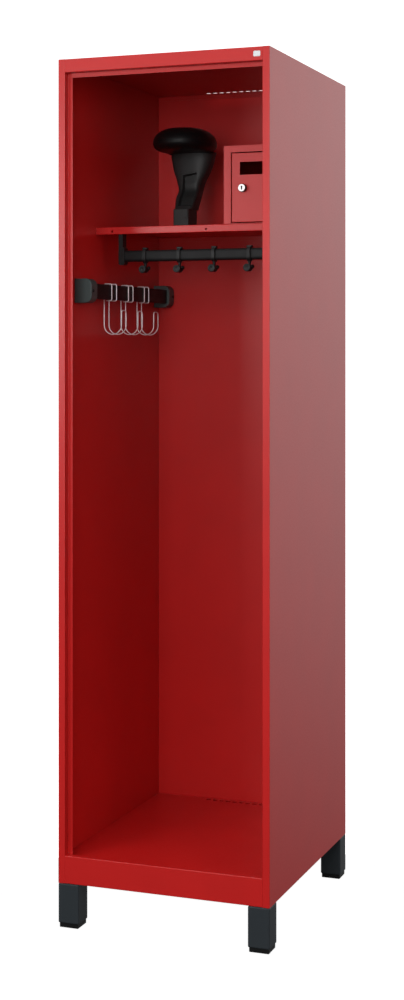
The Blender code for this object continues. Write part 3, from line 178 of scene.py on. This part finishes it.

# Keyway: a dark filling of the keyhole in the lock's face, painted shade in place of the shade
# inside it
KEYWAY_DEPTH = 4.6 * MM
KEYWAY_INSET = 0.35 * MM        # below the lock's face
KEYWAY_EASE = 0.4 * MM
KEYWAY_MOUTH = (3.1 * MM, 9.1 * MM)
KEYWAY_SIZE = (3.3 * MM, 9.3 * MM)
KEYWAY_FLAT = 0.02 * MM         # left between its rounded corners, each side

# Pan-head screws, radius and place along the axis from the top of the head
SHANK_RADIUS = 2.0 * MM
SHANK_POINT = 1.9 * MM          # radius at its end
SHANK_EASE = 0.4 * MM
HEAD_PROFILE = (
    (3.7 * MM, -2.2 * MM),
    (3.8 * MM, -2.0 * MM),
    (3.7 * MM, -1.3 * MM),
    (3.2 * MM, -0.7 * MM),
    (2.4 * MM, -0.3 * MM),
    (1.3 * MM, -0.05 * MM),
    (1.1 * MM, -0.1 * MM),
    (0.5 * MM, -1.3 * MM),
)
SCREW_SIDES = 36

# Studio
COVE_SIDES = 96
COVE_PROFILE = (
    # radius, height: a flat floor that sweeps up far behind the object
    (0.5, 0.0),
    (6.0, 0.0),
    (16.0, 0.0),
    (20.0, 0.6),
    (23.0, 2.6),
    (25.0, 6.0),
    (26.0, 12.0),
    (26.0, 24.0),
)
WORLD_BEHIND = 1.22             # strength towards +Y
WORLD_FRONT = 0.42              # strength towards -Y
WORLD_BELOW = 0.08              # share that is left below the horizon
WORLD_TURN = (0.35, 0.80)       # Y of a direction, between front and behind
WORLD_HORIZON = (-0.34, 0.12)   # Z of a direction, between below and above
CAMERA_PLACE = (1.38736, -3.73762, 1.30032)
CAMERA_YAW = 20.6               # degrees to the left of straight at the front
CAMERA_SENSOR = 36              # long side, millimetres
CAMERA_LENS = 60.76
CAMERA_SHIFT = -0.1514          # of the long side
CAMERA_FAR = 200
SHARP_ANGLE = 38                # degrees from which an edge is left sharp


# ---------------------------------------------------------------- materials
class Shader:
    """A material with its Principled node and short ways to add and join nodes."""

    def __init__(self, name, roughness, metallic=0.0):
        self.material = bpy.data.materials.new(name)
        self.material.use_nodes = True
        self.tree = self.material.node_tree
        self.surface = self.tree.nodes["Principled BSDF"]
        self.surface.inputs["Roughness"].default_value = roughness
        self.surface.inputs["Metallic"].default_value = metallic
        self.place = self.add("ShaderNodeTexCoord").outputs["Object"]

    def add(self, kind, **values):
        node = self.tree.nodes.new(kind)
        for name, value in values.items():
            setattr(node, name, value)
        return node

    def join(self, source, target):
        self.tree.links.new(source, target)

    def noise(self, scale, detail=2, stretch=(1, 1, 1)):
        """Noise fixed to the object: scale is roughly the number of blobs per metre."""
        mapping = self.add("ShaderNodeMapping")
        mapping.inputs["Scale"].default_value = stretch
        self.join(self.place, mapping.inputs["Vector"])
        texture = self.add("ShaderNodeTexNoise")
        texture.inputs["Scale"].default_value = scale
        texture.inputs["Detail"].default_value = detail
        self.join(mapping.outputs["Vector"], texture.inputs["Vector"])
        return texture.outputs["Fac"]

    def spread(self, source, low, high, start=0.3, end=0.7):
        """Map a signal's stretch from start to end to the range from low to high."""
        node = self.add("ShaderNodeMapRange")
        node.inputs["From Min"].default_value = start
        node.inputs["From Max"].default_value = end
        node.inputs["To Min"].default_value = low
        node.inputs["To Max"].default_value = high
        self.join(source, node.inputs["Value"])
        return node.outputs["Result"]

    def product(self, first, second):
        node = self.add("ShaderNodeMath", operation="MULTIPLY")
        self.join(first, node.inputs[0])
        self.join(second, node.inputs[1])
        return node.outputs["Value"]

    def color(self, base, other, factor):
        """Colour that goes from base to other with a factor."""
        node = self.add("ShaderNodeMix", data_type="RGBA")
        node.inputs["A"].default_value = (*base, 1.0)
        node.inputs["B"].default_value = (*other, 1.0)
        self.join(factor, node.inputs["Factor"])
        self.join(node.outputs["Result"], self.surface.inputs["Base Color"])

    def roughness(self, source):
        self.join(source, self.surface.inputs["Roughness"])

    def bump(self, source, distance, strength):
        """Raise the surface by a signal, on top of any bump that is there."""
        node = self.add("ShaderNodeBump")
        node.inputs["Strength"].default_value = strength
        node.inputs["Distance"].default_value = distance
        self.join(source, node.inputs["Height"])
        last = self.surface.inputs["Normal"]
        if last.is_linked:
            self.join(last.links[0].from_socket, node.inputs["Normal"])
        self.join(node.outputs["Normal"], last)

    def occlusion_shade(self, distance):
        """Ambient occlusion as the mask of a painted shade: 1 on open surfaces, falling towards 0
        in seams and inner corners.
        """
        node = self.add("ShaderNodeAmbientOcclusion", samples=6)
        node.inputs["Distance"].default_value = distance
        return node.outputs["AO"]


def scaled(color, factor):
    return tuple(channel * factor for channel in color)


def powder_coat(name, color, roughness, specular=0.42, seam_shade=0.8):
    """Sprayed and baked powder: orange-peel texture, faint mottling, and painted shade that darkens
    the colour in seams and inner corners.
    """
    shader = Shader(name, roughness)
    shader.surface.inputs["Specular IOR Level"].default_value = specular
    mottle = shader.noise(scale=9, detail=4)
    speck = shader.noise(scale=1400, detail=1)
    cloud = shader.noise(scale=240, detail=3)
    tone = shader.product(shader.spread(mottle, 0.82, 1.0), shader.spread(speck, 0.93, 1.0))
    # Painted shade: ambient occlusion darkens the colour in seams and inner corners
    painted_crevice_shade = shader.spread(shader.occlusion_shade(6 * MM), seam_shade, 1.0, start=0.25, end=0.8)
    shader.color(scaled(color, 0.62), color, shader.product(tone, painted_crevice_shade))
    shader.roughness(shader.spread(cloud, roughness - 0.03, roughness + 0.04))
    shader.bump(shader.noise(scale=420), distance=0.10 * MM, strength=0.35)
    shader.bump(shader.noise(scale=60), distance=0.15 * MM, strength=0.25)
    return shader.material


def grained_plastic(name, color, roughness, grain=1500, depth=0.06 * MM, specular=0.5):
    """Injection-moulded plastic with a fine spark-eroded grain."""
    shader = Shader(name, roughness)
    shader.surface.inputs["Specular IOR Level"].default_value = specular
    cloud = shader.noise(scale=35, detail=3)
    shader.color(scaled(color, 0.75), scaled(color, 1.15), shader.noise(scale=grain))
    shader.roughness(shader.spread(cloud, roughness - 0.04, roughness + 0.06))
    shader.bump(shader.noise(scale=grain), distance=depth, strength=0.5)
    return shader.material


def polished_metal(name, color, roughness, metallic):
    """Bright plating with faint drawing marks and cloudy polish."""
    shader = Shader(name, roughness, metallic)
    cloud = shader.noise(scale=90, detail=3)
    shader.color(scaled(color, 0.9), color, shader.noise(scale=160, detail=3))
    shader.roughness(shader.spread(cloud, roughness, roughness + 0.08))
    shader.bump(shader.noise(scale=700, detail=1), distance=0.02 * MM, strength=0.3)
    return shader.material


def zinc_plate(name, color, roughness):
    """Dull zinc plating with a cloudy, slightly blotched surface."""
    shader = Shader(name, roughness, metallic=1.0)
    cloud = shader.noise(scale=260, detail=3)
    shader.color(scaled(color, 0.7), color, shader.noise(scale=420, detail=4))
    shader.roughness(shader.spread(cloud, roughness - 0.06, roughness + 0.14))
    shader.bump(shader.noise(scale=1300), distance=0.03 * MM, strength=0.5)
    return shader.material


def brushed_plate(name, color, roughness):
    """Pale plate with a fine horizontal brush."""
    shader = Shader(name, roughness, metallic=0.6)
    strokes = shader.noise(scale=900, stretch=(0.05, 1, 1))
    shader.color(scaled(color, 0.85), color, strokes)
    shader.roughness(shader.spread(strokes, roughness - 0.05, roughness + 0.1))
    shader.bump(strokes, distance=0.03 * MM, strength=0.4)
    return shader.material


MATERIALS = {
    "red_paint": powder_coat("signal_red_powder_coat", RED, 0.33),
    "shelf_paint": powder_coat("signal_red_powder_coat_inside", RED, 0.33),
    "anthracite_paint": powder_coat("anthracite_powder_coat", ANTHRACITE, 0.42,
                                    specular=0.20),
    "black_plastic": grained_plastic("black_moulded_plastic", BLACK, 0.42, specular=0.26),
    "satin_plastic": grained_plastic("satin_moulded_plastic", CONSOLE_GREY, 0.44, specular=0.4),
    "rail_plastic": grained_plastic("coat_rail_plastic", RAIL_GREY, 0.52, specular=0.22),
    "holder_plastic": grained_plastic("helmet_holder_plastic", HOLDER_BLACK, 0.52, grain=1100,
                                      specular=0.35),
    "pad_plastic": grained_plastic("helmet_pad_plastic", PAD_BLACK, 0.44, grain=900,
                                   specular=0.24),
    "wire_nickel": polished_metal("satin_nickel_wire", WIRE_NICKEL_RED_REFLECTION, 0.34, metallic=0.35),
    "lock_nickel": polished_metal("satin_nickel_lock", LOCK_NICKEL, 0.30, metallic=0.45),
    "zinc": zinc_plate("zinc_plating", ZINC, 0.34),
    "pale_plate": brushed_plate("pale_brushed_plate", PALE, 0.30),
}

SLOT_OF = {part["node"]: part["material_slot"] for part in frame["record"]["subparts"]}

# Nodes whose finish differs from the one of their slot
OWN_FINISH = {
    "holder_base": "holder_plastic",
    "holder_latch": "holder_plastic",
    "holder_column": "holder_plastic",
    "helmet_rest": "pad_plastic",
    "coat_rail": "rail_plastic",
    "side_bar": "rail_plastic",
    "lock_plug": "lock_nickel",
    "wire_hook_1": "wire_nickel",
    "wire_hook_2": "wire_nickel",
    "wire_hook_3": "wire_nickel",
    "console_screw_front": "black_plastic",
    "console_screw_rear": "black_plastic",
}


def finish_of(name):
    return OWN_FINISH.get(name, SLOT_OF[name])


def finish_cad_nodes():
    """Give every carried-over CAD node the procedural material of its slot."""
    for name, node in NODES.items():
        node.data.materials.clear()
        node.data.materials.append(MATERIALS[finish_of(name)])


# ---------------------------------------------------------------- mesh helpers
def add_piece(name, shape, slot, finish=None, body="root", stands_for=None):
    """Turn a bmesh into a piece that rides on a body; its finish is the slot's own or another."""
    bmesh.ops.recalc_face_normals(shape, faces=shape.faces)
    mesh = bpy.data.meshes.new(name)
    shape.to_mesh(mesh)
    shape.free()
    mesh.shade_smooth()
    mesh.set_sharp_from_angle(angle=math.radians(SHARP_ANGLE))
    mesh.materials.append(MATERIALS[finish or slot])
    piece = bpy.data.objects.new(name, mesh)
    bpy.context.scene.collection.objects.link(piece)
    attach(piece, body)
    if stands_for:
        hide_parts(stands_for)


def loft(shape, rings, ends="both"):
    """Join rings of equal point count with quads; ends is both, first, or looped."""
    rows = [[shape.verts.new(point) for point in ring] for ring in rings]
    count = len(rows[0])
    following = rows[1:] + rows[:1] if ends == "looped" else rows[1:]
    for row, above in zip(rows, following):
        for index in range(count):
            after = (index + 1) % count
            shape.faces.new((row[index], row[after], above[after], above[index]))
    if ends in ("both", "first"):
        shape.faces.new(rows[0])
    if ends == "both":
        shape.faces.new(rows[-1])


def superellipse(center, z, width, length, power, count=96):
    """A level ring, from an ellipse at power 2 to nearly a rectangle at a high power."""
    ring = []
    for index in range(count):
        angle = math.tau * (index + 0.5) / count
        cosine = math.cos(angle)
        sine = math.sin(angle)
        x = math.copysign(abs(cosine) ** (2 / power), cosine) * width / 2
        y = math.copysign(abs(sine) ** (2 / power), sine) * length / 2
        ring.append((center[0] + x, center[1] + y, z))
    return ring


def circle(center, radius, side, other, sides):
    """Points round a center, in the plane of two unit vectors."""
    ring = []
    for step in range(sides):
        turn = math.tau * step / sides
        ring.append(center + radius * (math.cos(turn) * side + math.sin(turn) * other))
    return ring


def tube(shape, path, radii, sides):
    """Sweep a circle along 3D points, with a radius for each of them."""
    path = [Vector(point) for point in path]
    side = None
    rings = []
    for index, point in enumerate(path):
        ahead = path[min(index + 1, len(path) - 1)] - path[max(index - 1, 0)]
        ahead.normalize()
        if side is None:
            side = ahead.orthogonal()
        side = (side - ahead * side.dot(ahead)).normalized()
        rings.append(circle(point, radii[index], side, ahead.cross(side), sides))
    loft(shape, rings)


def fillet(points, radius, segments):
    """Round the inner corners of an open line of 3D points with arcs of one radius."""
    points = [Vector(point) for point in points]
    rounded = [points[0]]
    for before, corner, after in zip(points, points[1:], points[2:]):
        inward = (before - corner).normalized()
        outward = (after - corner).normalized()
        half = inward.angle(outward) / 2
        reach = radius / math.tan(half)
        center = corner + (inward + outward).normalized() * (radius / math.sin(half))
        start = corner + inward * reach - center
        end = corner + outward * reach - center
        for step in range(segments + 1):
            spoke = start.slerp(end, step / segments).normalized() * start.length
            rounded.append(center + spoke)
    rounded.append(points[-1])
    return rounded


def rounded_outline(width, height, radius, segments):
    """Corners of a rounded rectangle about the origin, anticlockwise."""
    points = []
    for quarter, (sx, sy) in enumerate(((1, 1), (-1, 1), (-1, -1), (1, -1))):
        center = Vector((sx * (width / 2 - radius), sy * (height / 2 - radius)))
        for step in range(segments + 1):
            angle = math.radians(90) * (quarter + step / segments)
            points.append(center + radius * Vector((math.cos(angle), math.sin(angle))))
    return points


def turned(shape, place, axis, profile, sides):
    """Lathe a profile of (radius, distance along the axis) about a point."""
    axis = Vector(axis).normalized()
    side = axis.orthogonal().normalized()
    other = axis.cross(side)
    loft(shape, [circle(Vector(place) + axis * along, radius, side, other, sides)
                 for radius, along in profile])


def middle_of(name):
    low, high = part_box(name)
    return (Vector(low) + Vector(high)) / 2


# ---------------------------------------------------------------- helmet holder
def helmet_pad():
    """Moulded pad with a parting groove on its widest line and a seat for the column."""
    low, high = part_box("helmet_rest")
    center = middle_of("helmet_rest")
    width = high[0] - low[0]
    length = high[1] - low[1]
    widest = high[2] - REST_MIDDLE
    column_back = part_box("holder_column")[1][1]
    top_width, top_length, top_power = COLUMN_TOP
    seat_center = (center[0], column_back - top_length / 2)
    bottom = widest - REST_DEPTH * math.cos(math.radians(REST_START))
    rings = [
        superellipse(seat_center, z, top_width + 2 * SEAT_AIR, top_length + 2 * SEAT_AIR,
                     top_power)
        for z in (bottom + REST_SEAT, bottom)
    ]
    for step in range(REST_LOWER_STEPS + 1):
        angle = math.radians(REST_START + (90 - REST_START) * step / REST_LOWER_STEPS)
        scale = math.sin(angle) ** REST_LOWER_BULGE
        rings.append(superellipse(center, widest - REST_DEPTH * math.cos(angle),
                                  width * scale, length * scale, REST_POWER))
    groove = 1 - 2 * PARTING_GROOVE / width
    rings[-1] = superellipse(center, widest - PARTING_HALF, width, length, REST_POWER)
    rings.append(superellipse(center, widest, width * groove, length * groove, REST_POWER))
    rings.append(superellipse(center, widest + PARTING_HALF, width, length, REST_POWER))
    for step in range(1, REST_UPPER_STEPS):
        angle = math.radians(90) * step / REST_UPPER_STEPS
        scale = math.cos(angle) ** REST_UPPER_BULGE
        rings.append(superellipse(center, widest + REST_MIDDLE * math.sin(angle),
                                  width * scale, length * scale, REST_POWER))
    shape = bmesh.new()
    loft(shape, rings)
    add_piece("helmet_pad", shape, "black_plastic", "pad_plastic", stands_for="helmet_rest")


def smooth_stations(stations, count):
    """Evenly spaced rows of a smooth curve through the stations' values."""
    rows = []
    for step in range(count + 1):
        rise = step / count
        index = max(i for i in range(len(stations) - 1) if stations[i][0] <= rise + 1e-9)
        start, end = stations[index], stations[index + 1]
        before = stations[max(index - 1, 0)]
        after = stations[min(index + 2, len(stations) - 1)]
        span = end[0] - start[0]
        share = (rise - start[0]) / span
        row = [rise]
        for value in range(1, len(start)):
            slope_in = (end[value] - before[value]) / (end[0] - before[0]) * span
            slope_out = (after[value] - start[value]) / (after[0] - start[0]) * span
            cube, square = share ** 3, share ** 2
            row.append((2 * cube - 3 * square + 1) * start[value]
                       + (cube - 2 * square + share) * slope_in
                       + (3 * square - 2 * cube) * end[value] + (cube - square) * slope_out)
        rows.append(row)
    return rows


def smooth_step(value, low, high):
    share = max(0.0, min(1.0, (value - low) / (high - low)))
    return share * share * (3 - 2 * share)


def holder_column():
    """Funnel-shaped column with a soft-edged finger recess down its front."""
    low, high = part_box("holder_column")
    center = middle_of("holder_column")
    foot_y = high[1] - COLUMN_TOP[1] / 2 - COLUMN_LEAN
    height = high[2] - low[2]
    recess_low = low[2] + height * RECESS_RISE[0]
    recess_high = low[2] + height * RECESS_RISE[1]
    rings = []
    for rise, lean, width, length, power in smooth_stations(COLUMN_STATIONS, COLUMN_ROWS):
        z = low[2] + height * rise
        middle_y = foot_y + COLUMN_LEAN * lean
        ring = []
        for x, y, level in superellipse((center[0], middle_y), z, width, length, power,
                                       COLUMN_POINTS):
            across = x - center[0] - RECESS_SHIFT
            inside_x = RECESS_WIDTH / 2 - abs(across)
            inside_z = min(z - recess_low, recess_high + RECESS_SLANT * across - z)
            inside = min(inside_x, inside_z)
            depth = RECESS_DEPTH * smooth_step(inside, 0.0, RECESS_EDGE)
            front = smooth_step(middle_y - y, 0.0, length * RECESS_FADE)
            ring.append((x, y + depth * front, level))
        rings.append(ring)
    shape = bmesh.new()
    loft(shape, rings)
    add_piece("holder_column_shell", shape, "satin_plastic", "holder_plastic",
              stands_for="holder_column")


# ---------------------------------------------------------------- hooks
def wire_half(name, hand):
    """Centre line of half a wire hook, from the end of its wrap to the middle of its tip."""
    low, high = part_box(name)
    bar_low, bar_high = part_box("side_bar")
    left = low[0] + WIRE_RADIUS
    right = bar_high[0] + WIRE_AIR + WIRE_RADIUS
    top = high[2] - WIRE_RADIUS
    under = bar_low[2] - WIRE_AIR - WIRE_RADIUS
    bottom = low[2] + WIRE_RADIUS
    middle_y = (low[1] + high[1]) / 2
    y = middle_y + hand * ((high[1] - low[1]) / 2 - WIRE_RADIUS)
    radius = WIRE_BOW / 2
    wrap = fillet([(left + WIRE_TAIL, y, under), (right, y, under), (right, y, top),
                   (left, y, top), (left, y, bottom + radius)],
                  WIRE_BEND, WIRE_BEND_STEPS)[:-1]
    bow = []
    for step in range(WIRE_BOW_STEPS + 1):
        angle = math.pi * (1 + step / WIRE_BOW_STEPS)
        bow.append(Vector((left + radius + radius * math.cos(angle), y,
                           bottom + radius + radius * math.sin(angle))))
    tip = bottom + WIRE_TIP
    line = wrap + bow
    for step in range(WIRE_TIP_STEPS + 1):
        angle = math.radians(90) * step / WIRE_TIP_STEPS
        line.append(Vector((left + WIRE_BOW, y - hand * WIRE_TIP_BEND * (1 - math.cos(angle)),
                            tip - WIRE_TIP_BEND * (1 - math.sin(angle)))))
    return line


def wire_hook(name):
    """One wire, bent into two bows side by side and a tip that joins them."""
    line = wire_half(name, -1) + wire_half(name, 1)[::-1]
    shape = bmesh.new()
    end = [WIRE_RADIUS * WIRE_END]
    tube(shape, line, end + [WIRE_RADIUS] * (len(line) - 2) + end, WIRE_SIDES)
    add_piece(name + "_wire", shape, "chrome", finish_of(name), body=name, stands_for=name)


def clip_ring(shape, x, rail_low, rail_high):
    """Clip round the rail: a rounded frame with eased edges."""
    width = rail_high[1] - rail_low[1]
    height = rail_high[2] - rail_low[2]
    center_y = (rail_low[1] + rail_high[1]) / 2
    center_z = (rail_low[2] + rail_high[2]) / 2
    rail_radius = width / 2 - RAIL_FLAT
    outer = CLIP_AIR + CLIP_WALL
    half = HOOK_WIDTH / 2
    section = (
        (CLIP_AIR, -half),
        (CLIP_AIR, half),
        (outer - CLIP_EASE, half),
        (outer, half - CLIP_EASE),
        (outer, -half + CLIP_EASE),
        (outer - CLIP_EASE, -half),
    )
    rings = []
    for grow, along in section:
        outline = rounded_outline(width + 2 * grow, height + 2 * grow, rail_radius + grow,
                                  CLIP_CORNER_STEPS)
        rings.append([(x + along, center_y + p.x, center_z + p.y) for p in outline])
    loft(shape, rings, ends="looped")


def hook_cap(shape, x, y, bottom):
    """Low block with an eased top edge, on top of the clip."""
    sections = ((-CAP_RISE, 0.0), (CAP_RISE - CAP_EASE, 0.0), (CAP_RISE, CAP_EASE))
    loft(shape, [
        [(x + p.x, y + p.y, bottom + rise)
         for p in rounded_outline(CAP_WIDTH - 2 * inset, CAP_LENGTH - 2 * inset, CAP_CORNER, 4)]
        for rise, inset in sections
    ])


def hook_neck(shape, x, y, low, high):
    """Waisted neck between the clip and the prongs."""
    loft(shape, [
        [(x + p.x, y + p.y, low + (high - low) * share)
         for p in rounded_outline(width, length, NECK_CORNER, 5)]
        for share, width, length in NECK_SECTIONS
    ])


def hook_prongs(shape, x, y, low):
    """One tapered arc of two prongs, with a ball on the rear end and a button on the front."""
    half_angle = 2 * math.atan2(PRONG_RISE, PRONG_SPAN)
    arc_radius = PRONG_SPAN / math.sin(half_angle)
    path = []
    radii = []
    for step in range(PRONG_STEPS + 1):
        share = 2 * step / PRONG_STEPS - 1
        angle = half_angle * share
        path.append((x, y + arc_radius * math.sin(angle), low + arc_radius * (1 - math.cos(angle))))
        radii.append(PRONG_RADIUS - PRONG_TAPER * abs(share))
    tube(shape, path, radii, PRONG_SIDES)

    ball = []
    for step in range(BALL_STEPS + 1):
        angle = math.radians(BALL_REACH * (2 * step / BALL_STEPS - 1))
        ball.append((PRONG_BALL * math.cos(angle), PRONG_BALL * math.sin(angle)))
    turned(shape, path[-1], (0, 0, 1), ball, BALL_SIDES)
    button = Vector(path[0]) - Vector((0, 0, BUTTON_DROP))
    turned(shape, button, (0, -1, 0), BUTTON_PROFILE, BUTTON_SIDES)


def rail_hook(name):
    """Sliding double hook: capped clip, waisted neck, two prongs."""
    rail_low, rail_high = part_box("coat_rail")
    x = middle_of(name)[0]
    y = (rail_low[1] + rail_high[1]) / 2
    low = rail_low[2] - PRONG_DROP + PRONG_RADIUS
    shape = bmesh.new()
    clip_ring(shape, x, rail_low, rail_high)
    hook_cap(shape, x, y, rail_high[2] + CLIP_AIR + CLIP_WALL)
    hook_neck(shape, x, y, low, rail_low[2] - CLIP_AIR - CLIP_WALL / 2)
    hook_prongs(shape, x, y, low)
    add_piece(name + "_moulding", shape, "black_plastic", body=name, stands_for=name)


# ---------------------------------------------------------------- small details
def weld_seam(name, x, face_y, bottom, top):
    """One upright bead with a domed front, centred on the gap at x."""
    outline = []
    for step in range(SEAM_STEPS + 1):
        angle = math.pi * step / SEAM_STEPS
        outline.append((x - SEAM_WIDTH / 2 * math.cos(angle),
                        face_y + SEAM_CROWN * (1 - math.sin(angle))))
    outline.append((x + SEAM_WIDTH / 2, face_y + SEAM_BACK))
    outline.append((x - SEAM_WIDTH / 2, face_y + SEAM_BACK))
    shape = bmesh.new()
    loft(shape, [[(px, py, z) for px, py in outline] for z in (bottom, top)])
    add_piece(name, shape, "red_paint")


def weld_seams():
    """Ground weld beads that close the corners between the stiles and both rails."""
    for rail in ("header", "base_rail"):
        low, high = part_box(rail)
        bottom = high[2] - HEADER_FACE if rail == "header" else low[2]
        for side, x in (("left", low[0] - HALF_GAP), ("right", high[0] + HALF_GAP)):
            weld_seam("weld_seam_%s_%s" % (rail, side), x, low[1],
                      bottom + SEAM_END, high[2] - SEAM_END)


def keyhole_painted_shade():
    """Painted shade: a dark filling of the keyhole, a little below the lock's face, in place of the
    shade deep inside it.
    """
    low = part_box("lock_plug")[0]
    center = middle_of("lock_plug")
    sections = (
        (KEYWAY_INSET, *KEYWAY_MOUTH),
        (KEYWAY_INSET + KEYWAY_EASE, *KEYWAY_SIZE),
        (KEYWAY_DEPTH, *KEYWAY_SIZE),
    )
    shape = bmesh.new()
    loft(shape, [
        [(center.x + p.x, low[1] + depth, center.z + p.y)
         for p in rounded_outline(width, height, width / 2 - KEYWAY_FLAT, 5)]
        for depth, width, height in sections
    ])
    add_piece("keyhole_painted_shade", shape, "black_plastic", "pad_plastic", body="lock_plug")


def screw_head(name, outward):
    """Pan-head screw with a round recess, in the place of the plain CAD screw."""
    low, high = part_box(name)
    center = middle_of(name)
    axis = Vector(outward)
    reach = max(abs(axis.dot(Vector(high) - center)), abs(axis.dot(Vector(low) - center)))
    shank = [
        (SHANK_POINT, -2 * reach),
        (SHANK_RADIUS, -2 * reach + SHANK_EASE),
        (SHANK_RADIUS, HEAD_PROFILE[0][1]),
    ]
    shape = bmesh.new()
    turned(shape, center + axis * reach, axis, shank + list(HEAD_PROFILE), SCREW_SIDES)
    add_piece(name + "_pan_head", shape, "zinc", finish_of(name), stands_for=name)


def add_details():
    helmet_pad()
    holder_column()
    for index in range(1, 4):
        wire_hook("wire_hook_%d" % index)
    for index in range(1, 5):
        rail_hook("rail_hook_%d" % index)
    weld_seams()
    keyhole_painted_shade()
    for side in ("left", "right"):
        screw_head("bracket_screw_" + side, (0, 0, -1))
    for place in ("front", "rear"):
        screw_head("console_screw_" + place, (1, 0, 0))
    screw_head("holder_screw", (0, 0, -1))


# ---------------------------------------------------------------- stage, light and camera
def add_floor():
    """Pale floor whose far edge sweeps up, lit evenly like a studio's infinity cove."""
    east = Vector((1, 0, 0))
    north = Vector((0, 1, 0))
    shape = bmesh.new()
    loft(shape, [circle(Vector((0, 0, height)), radius, east, north, COVE_SIDES)
                 for radius, height in COVE_PROFILE], ends="first")
    mesh = bpy.data.meshes.new("studio_floor")
    shape.to_mesh(mesh)
    shape.free()
    mesh.shade_smooth()
    floor = bpy.data.objects.new("studio_floor", mesh)
    bpy.context.scene.collection.objects.link(floor)
    shader = Shader("pale_studio_floor", 0.9)
    shader.color((0.93, 0.93, 0.93), (0.95, 0.95, 0.95), shader.noise(scale=2))
    shader.surface.inputs["Emission Color"].default_value = (1.0, 1.0, 1.0, 1.0)
    shader.surface.inputs["Emission Strength"].default_value = 1.0
    mesh.materials.append(shader.material)
    floor.visible_glossy = False
    floor.visible_diffuse = False
    floor.visible_shadow = False


def add_softbox(name, position, target, width, height, power):
    light = bpy.data.lights.new(name, "AREA")
    light.shape = "RECTANGLE"
    light.size = width
    light.size_y = height
    light.energy = power
    lamp = bpy.data.objects.new(name, light)
    lamp.location = position
    lamp.rotation_euler = (Vector(target) - Vector(position)).to_track_quat("-Z", "Y").to_euler()
    lamp.visible_camera = False
    bpy.context.scene.collection.objects.link(lamp)


def add_world():
    """Soft studio surroundings: bright behind, calmer in front, dark below the horizon."""
    world = bpy.data.worlds.new("studio")
    bpy.context.scene.world = world
    world.use_nodes = True
    tree = world.node_tree
    background = tree.nodes["Background"]
    place = tree.nodes.new("ShaderNodeTexCoord").outputs["Generated"]
    parts = tree.nodes.new("ShaderNodeSeparateXYZ")
    tree.links.new(place, parts.inputs["Vector"])

    def ramp(source, start, end, low, high):
        node = tree.nodes.new("ShaderNodeMapRange")
        node.inputs["From Min"].default_value = start
        node.inputs["From Max"].default_value = end
        node.inputs["To Min"].default_value = low
        node.inputs["To Max"].default_value = high
        tree.links.new(source, node.inputs["Value"])
        return node.outputs["Result"]

    behind = ramp(parts.outputs["Y"], *WORLD_TURN, WORLD_FRONT, WORLD_BEHIND)
    above = ramp(parts.outputs["Z"], *WORLD_HORIZON, WORLD_BELOW, 1.0)
    level = tree.nodes.new("ShaderNodeMath")
    level.operation = "MULTIPLY"
    tree.links.new(behind, level.inputs[0])
    tree.links.new(above, level.inputs[1])
    tree.links.new(level.outputs["Value"], background.inputs["Strength"])
    background.inputs["Color"].default_value = (1.0, 1.0, 1.0, 1.0)


def add_lights():
    """Softboxes in front of the locker, whose open side and shelf they reach into."""
    add_softbox("key_left", position=(-2.0, -3.5, 1.7), target=(0.0, 0.0, 1.5),
                width=1.4, height=0.8, power=33)
    add_softbox("key_front", position=(0.5, -4.2, 1.9), target=(0.0, 0.0, 1.3),
                width=1.7, height=1.8, power=64)
    add_softbox("key_high", position=(-1.1, -2.4, 5.6), target=(0.0, -0.1, 0.5),
                width=1.8, height=1.8, power=58)
    add_softbox("fill_right", position=(3.4, -2.0, 1.9), target=(0.0, 0.0, 1.1),
                width=1.6, height=2.4, power=22)


def add_camera():
    data = bpy.data.cameras.new("camera")
    data.sensor_width = CAMERA_SENSOR
    data.sensor_fit = "AUTO"
    data.lens = CAMERA_LENS
    data.shift_y = CAMERA_SHIFT
    data.clip_end = CAMERA_FAR
    camera = bpy.data.objects.new("camera", data)
    camera.location = CAMERA_PLACE
    camera.rotation_euler = (math.radians(90), 0, math.radians(CAMERA_YAW))
    bpy.context.scene.collection.objects.link(camera)
    bpy.context.scene.camera = camera
    bpy.context.scene.view_settings.view_transform = "Standard"


finish_cad_nodes()
add_details()
add_floor()
add_world()
add_lights()
add_camera()
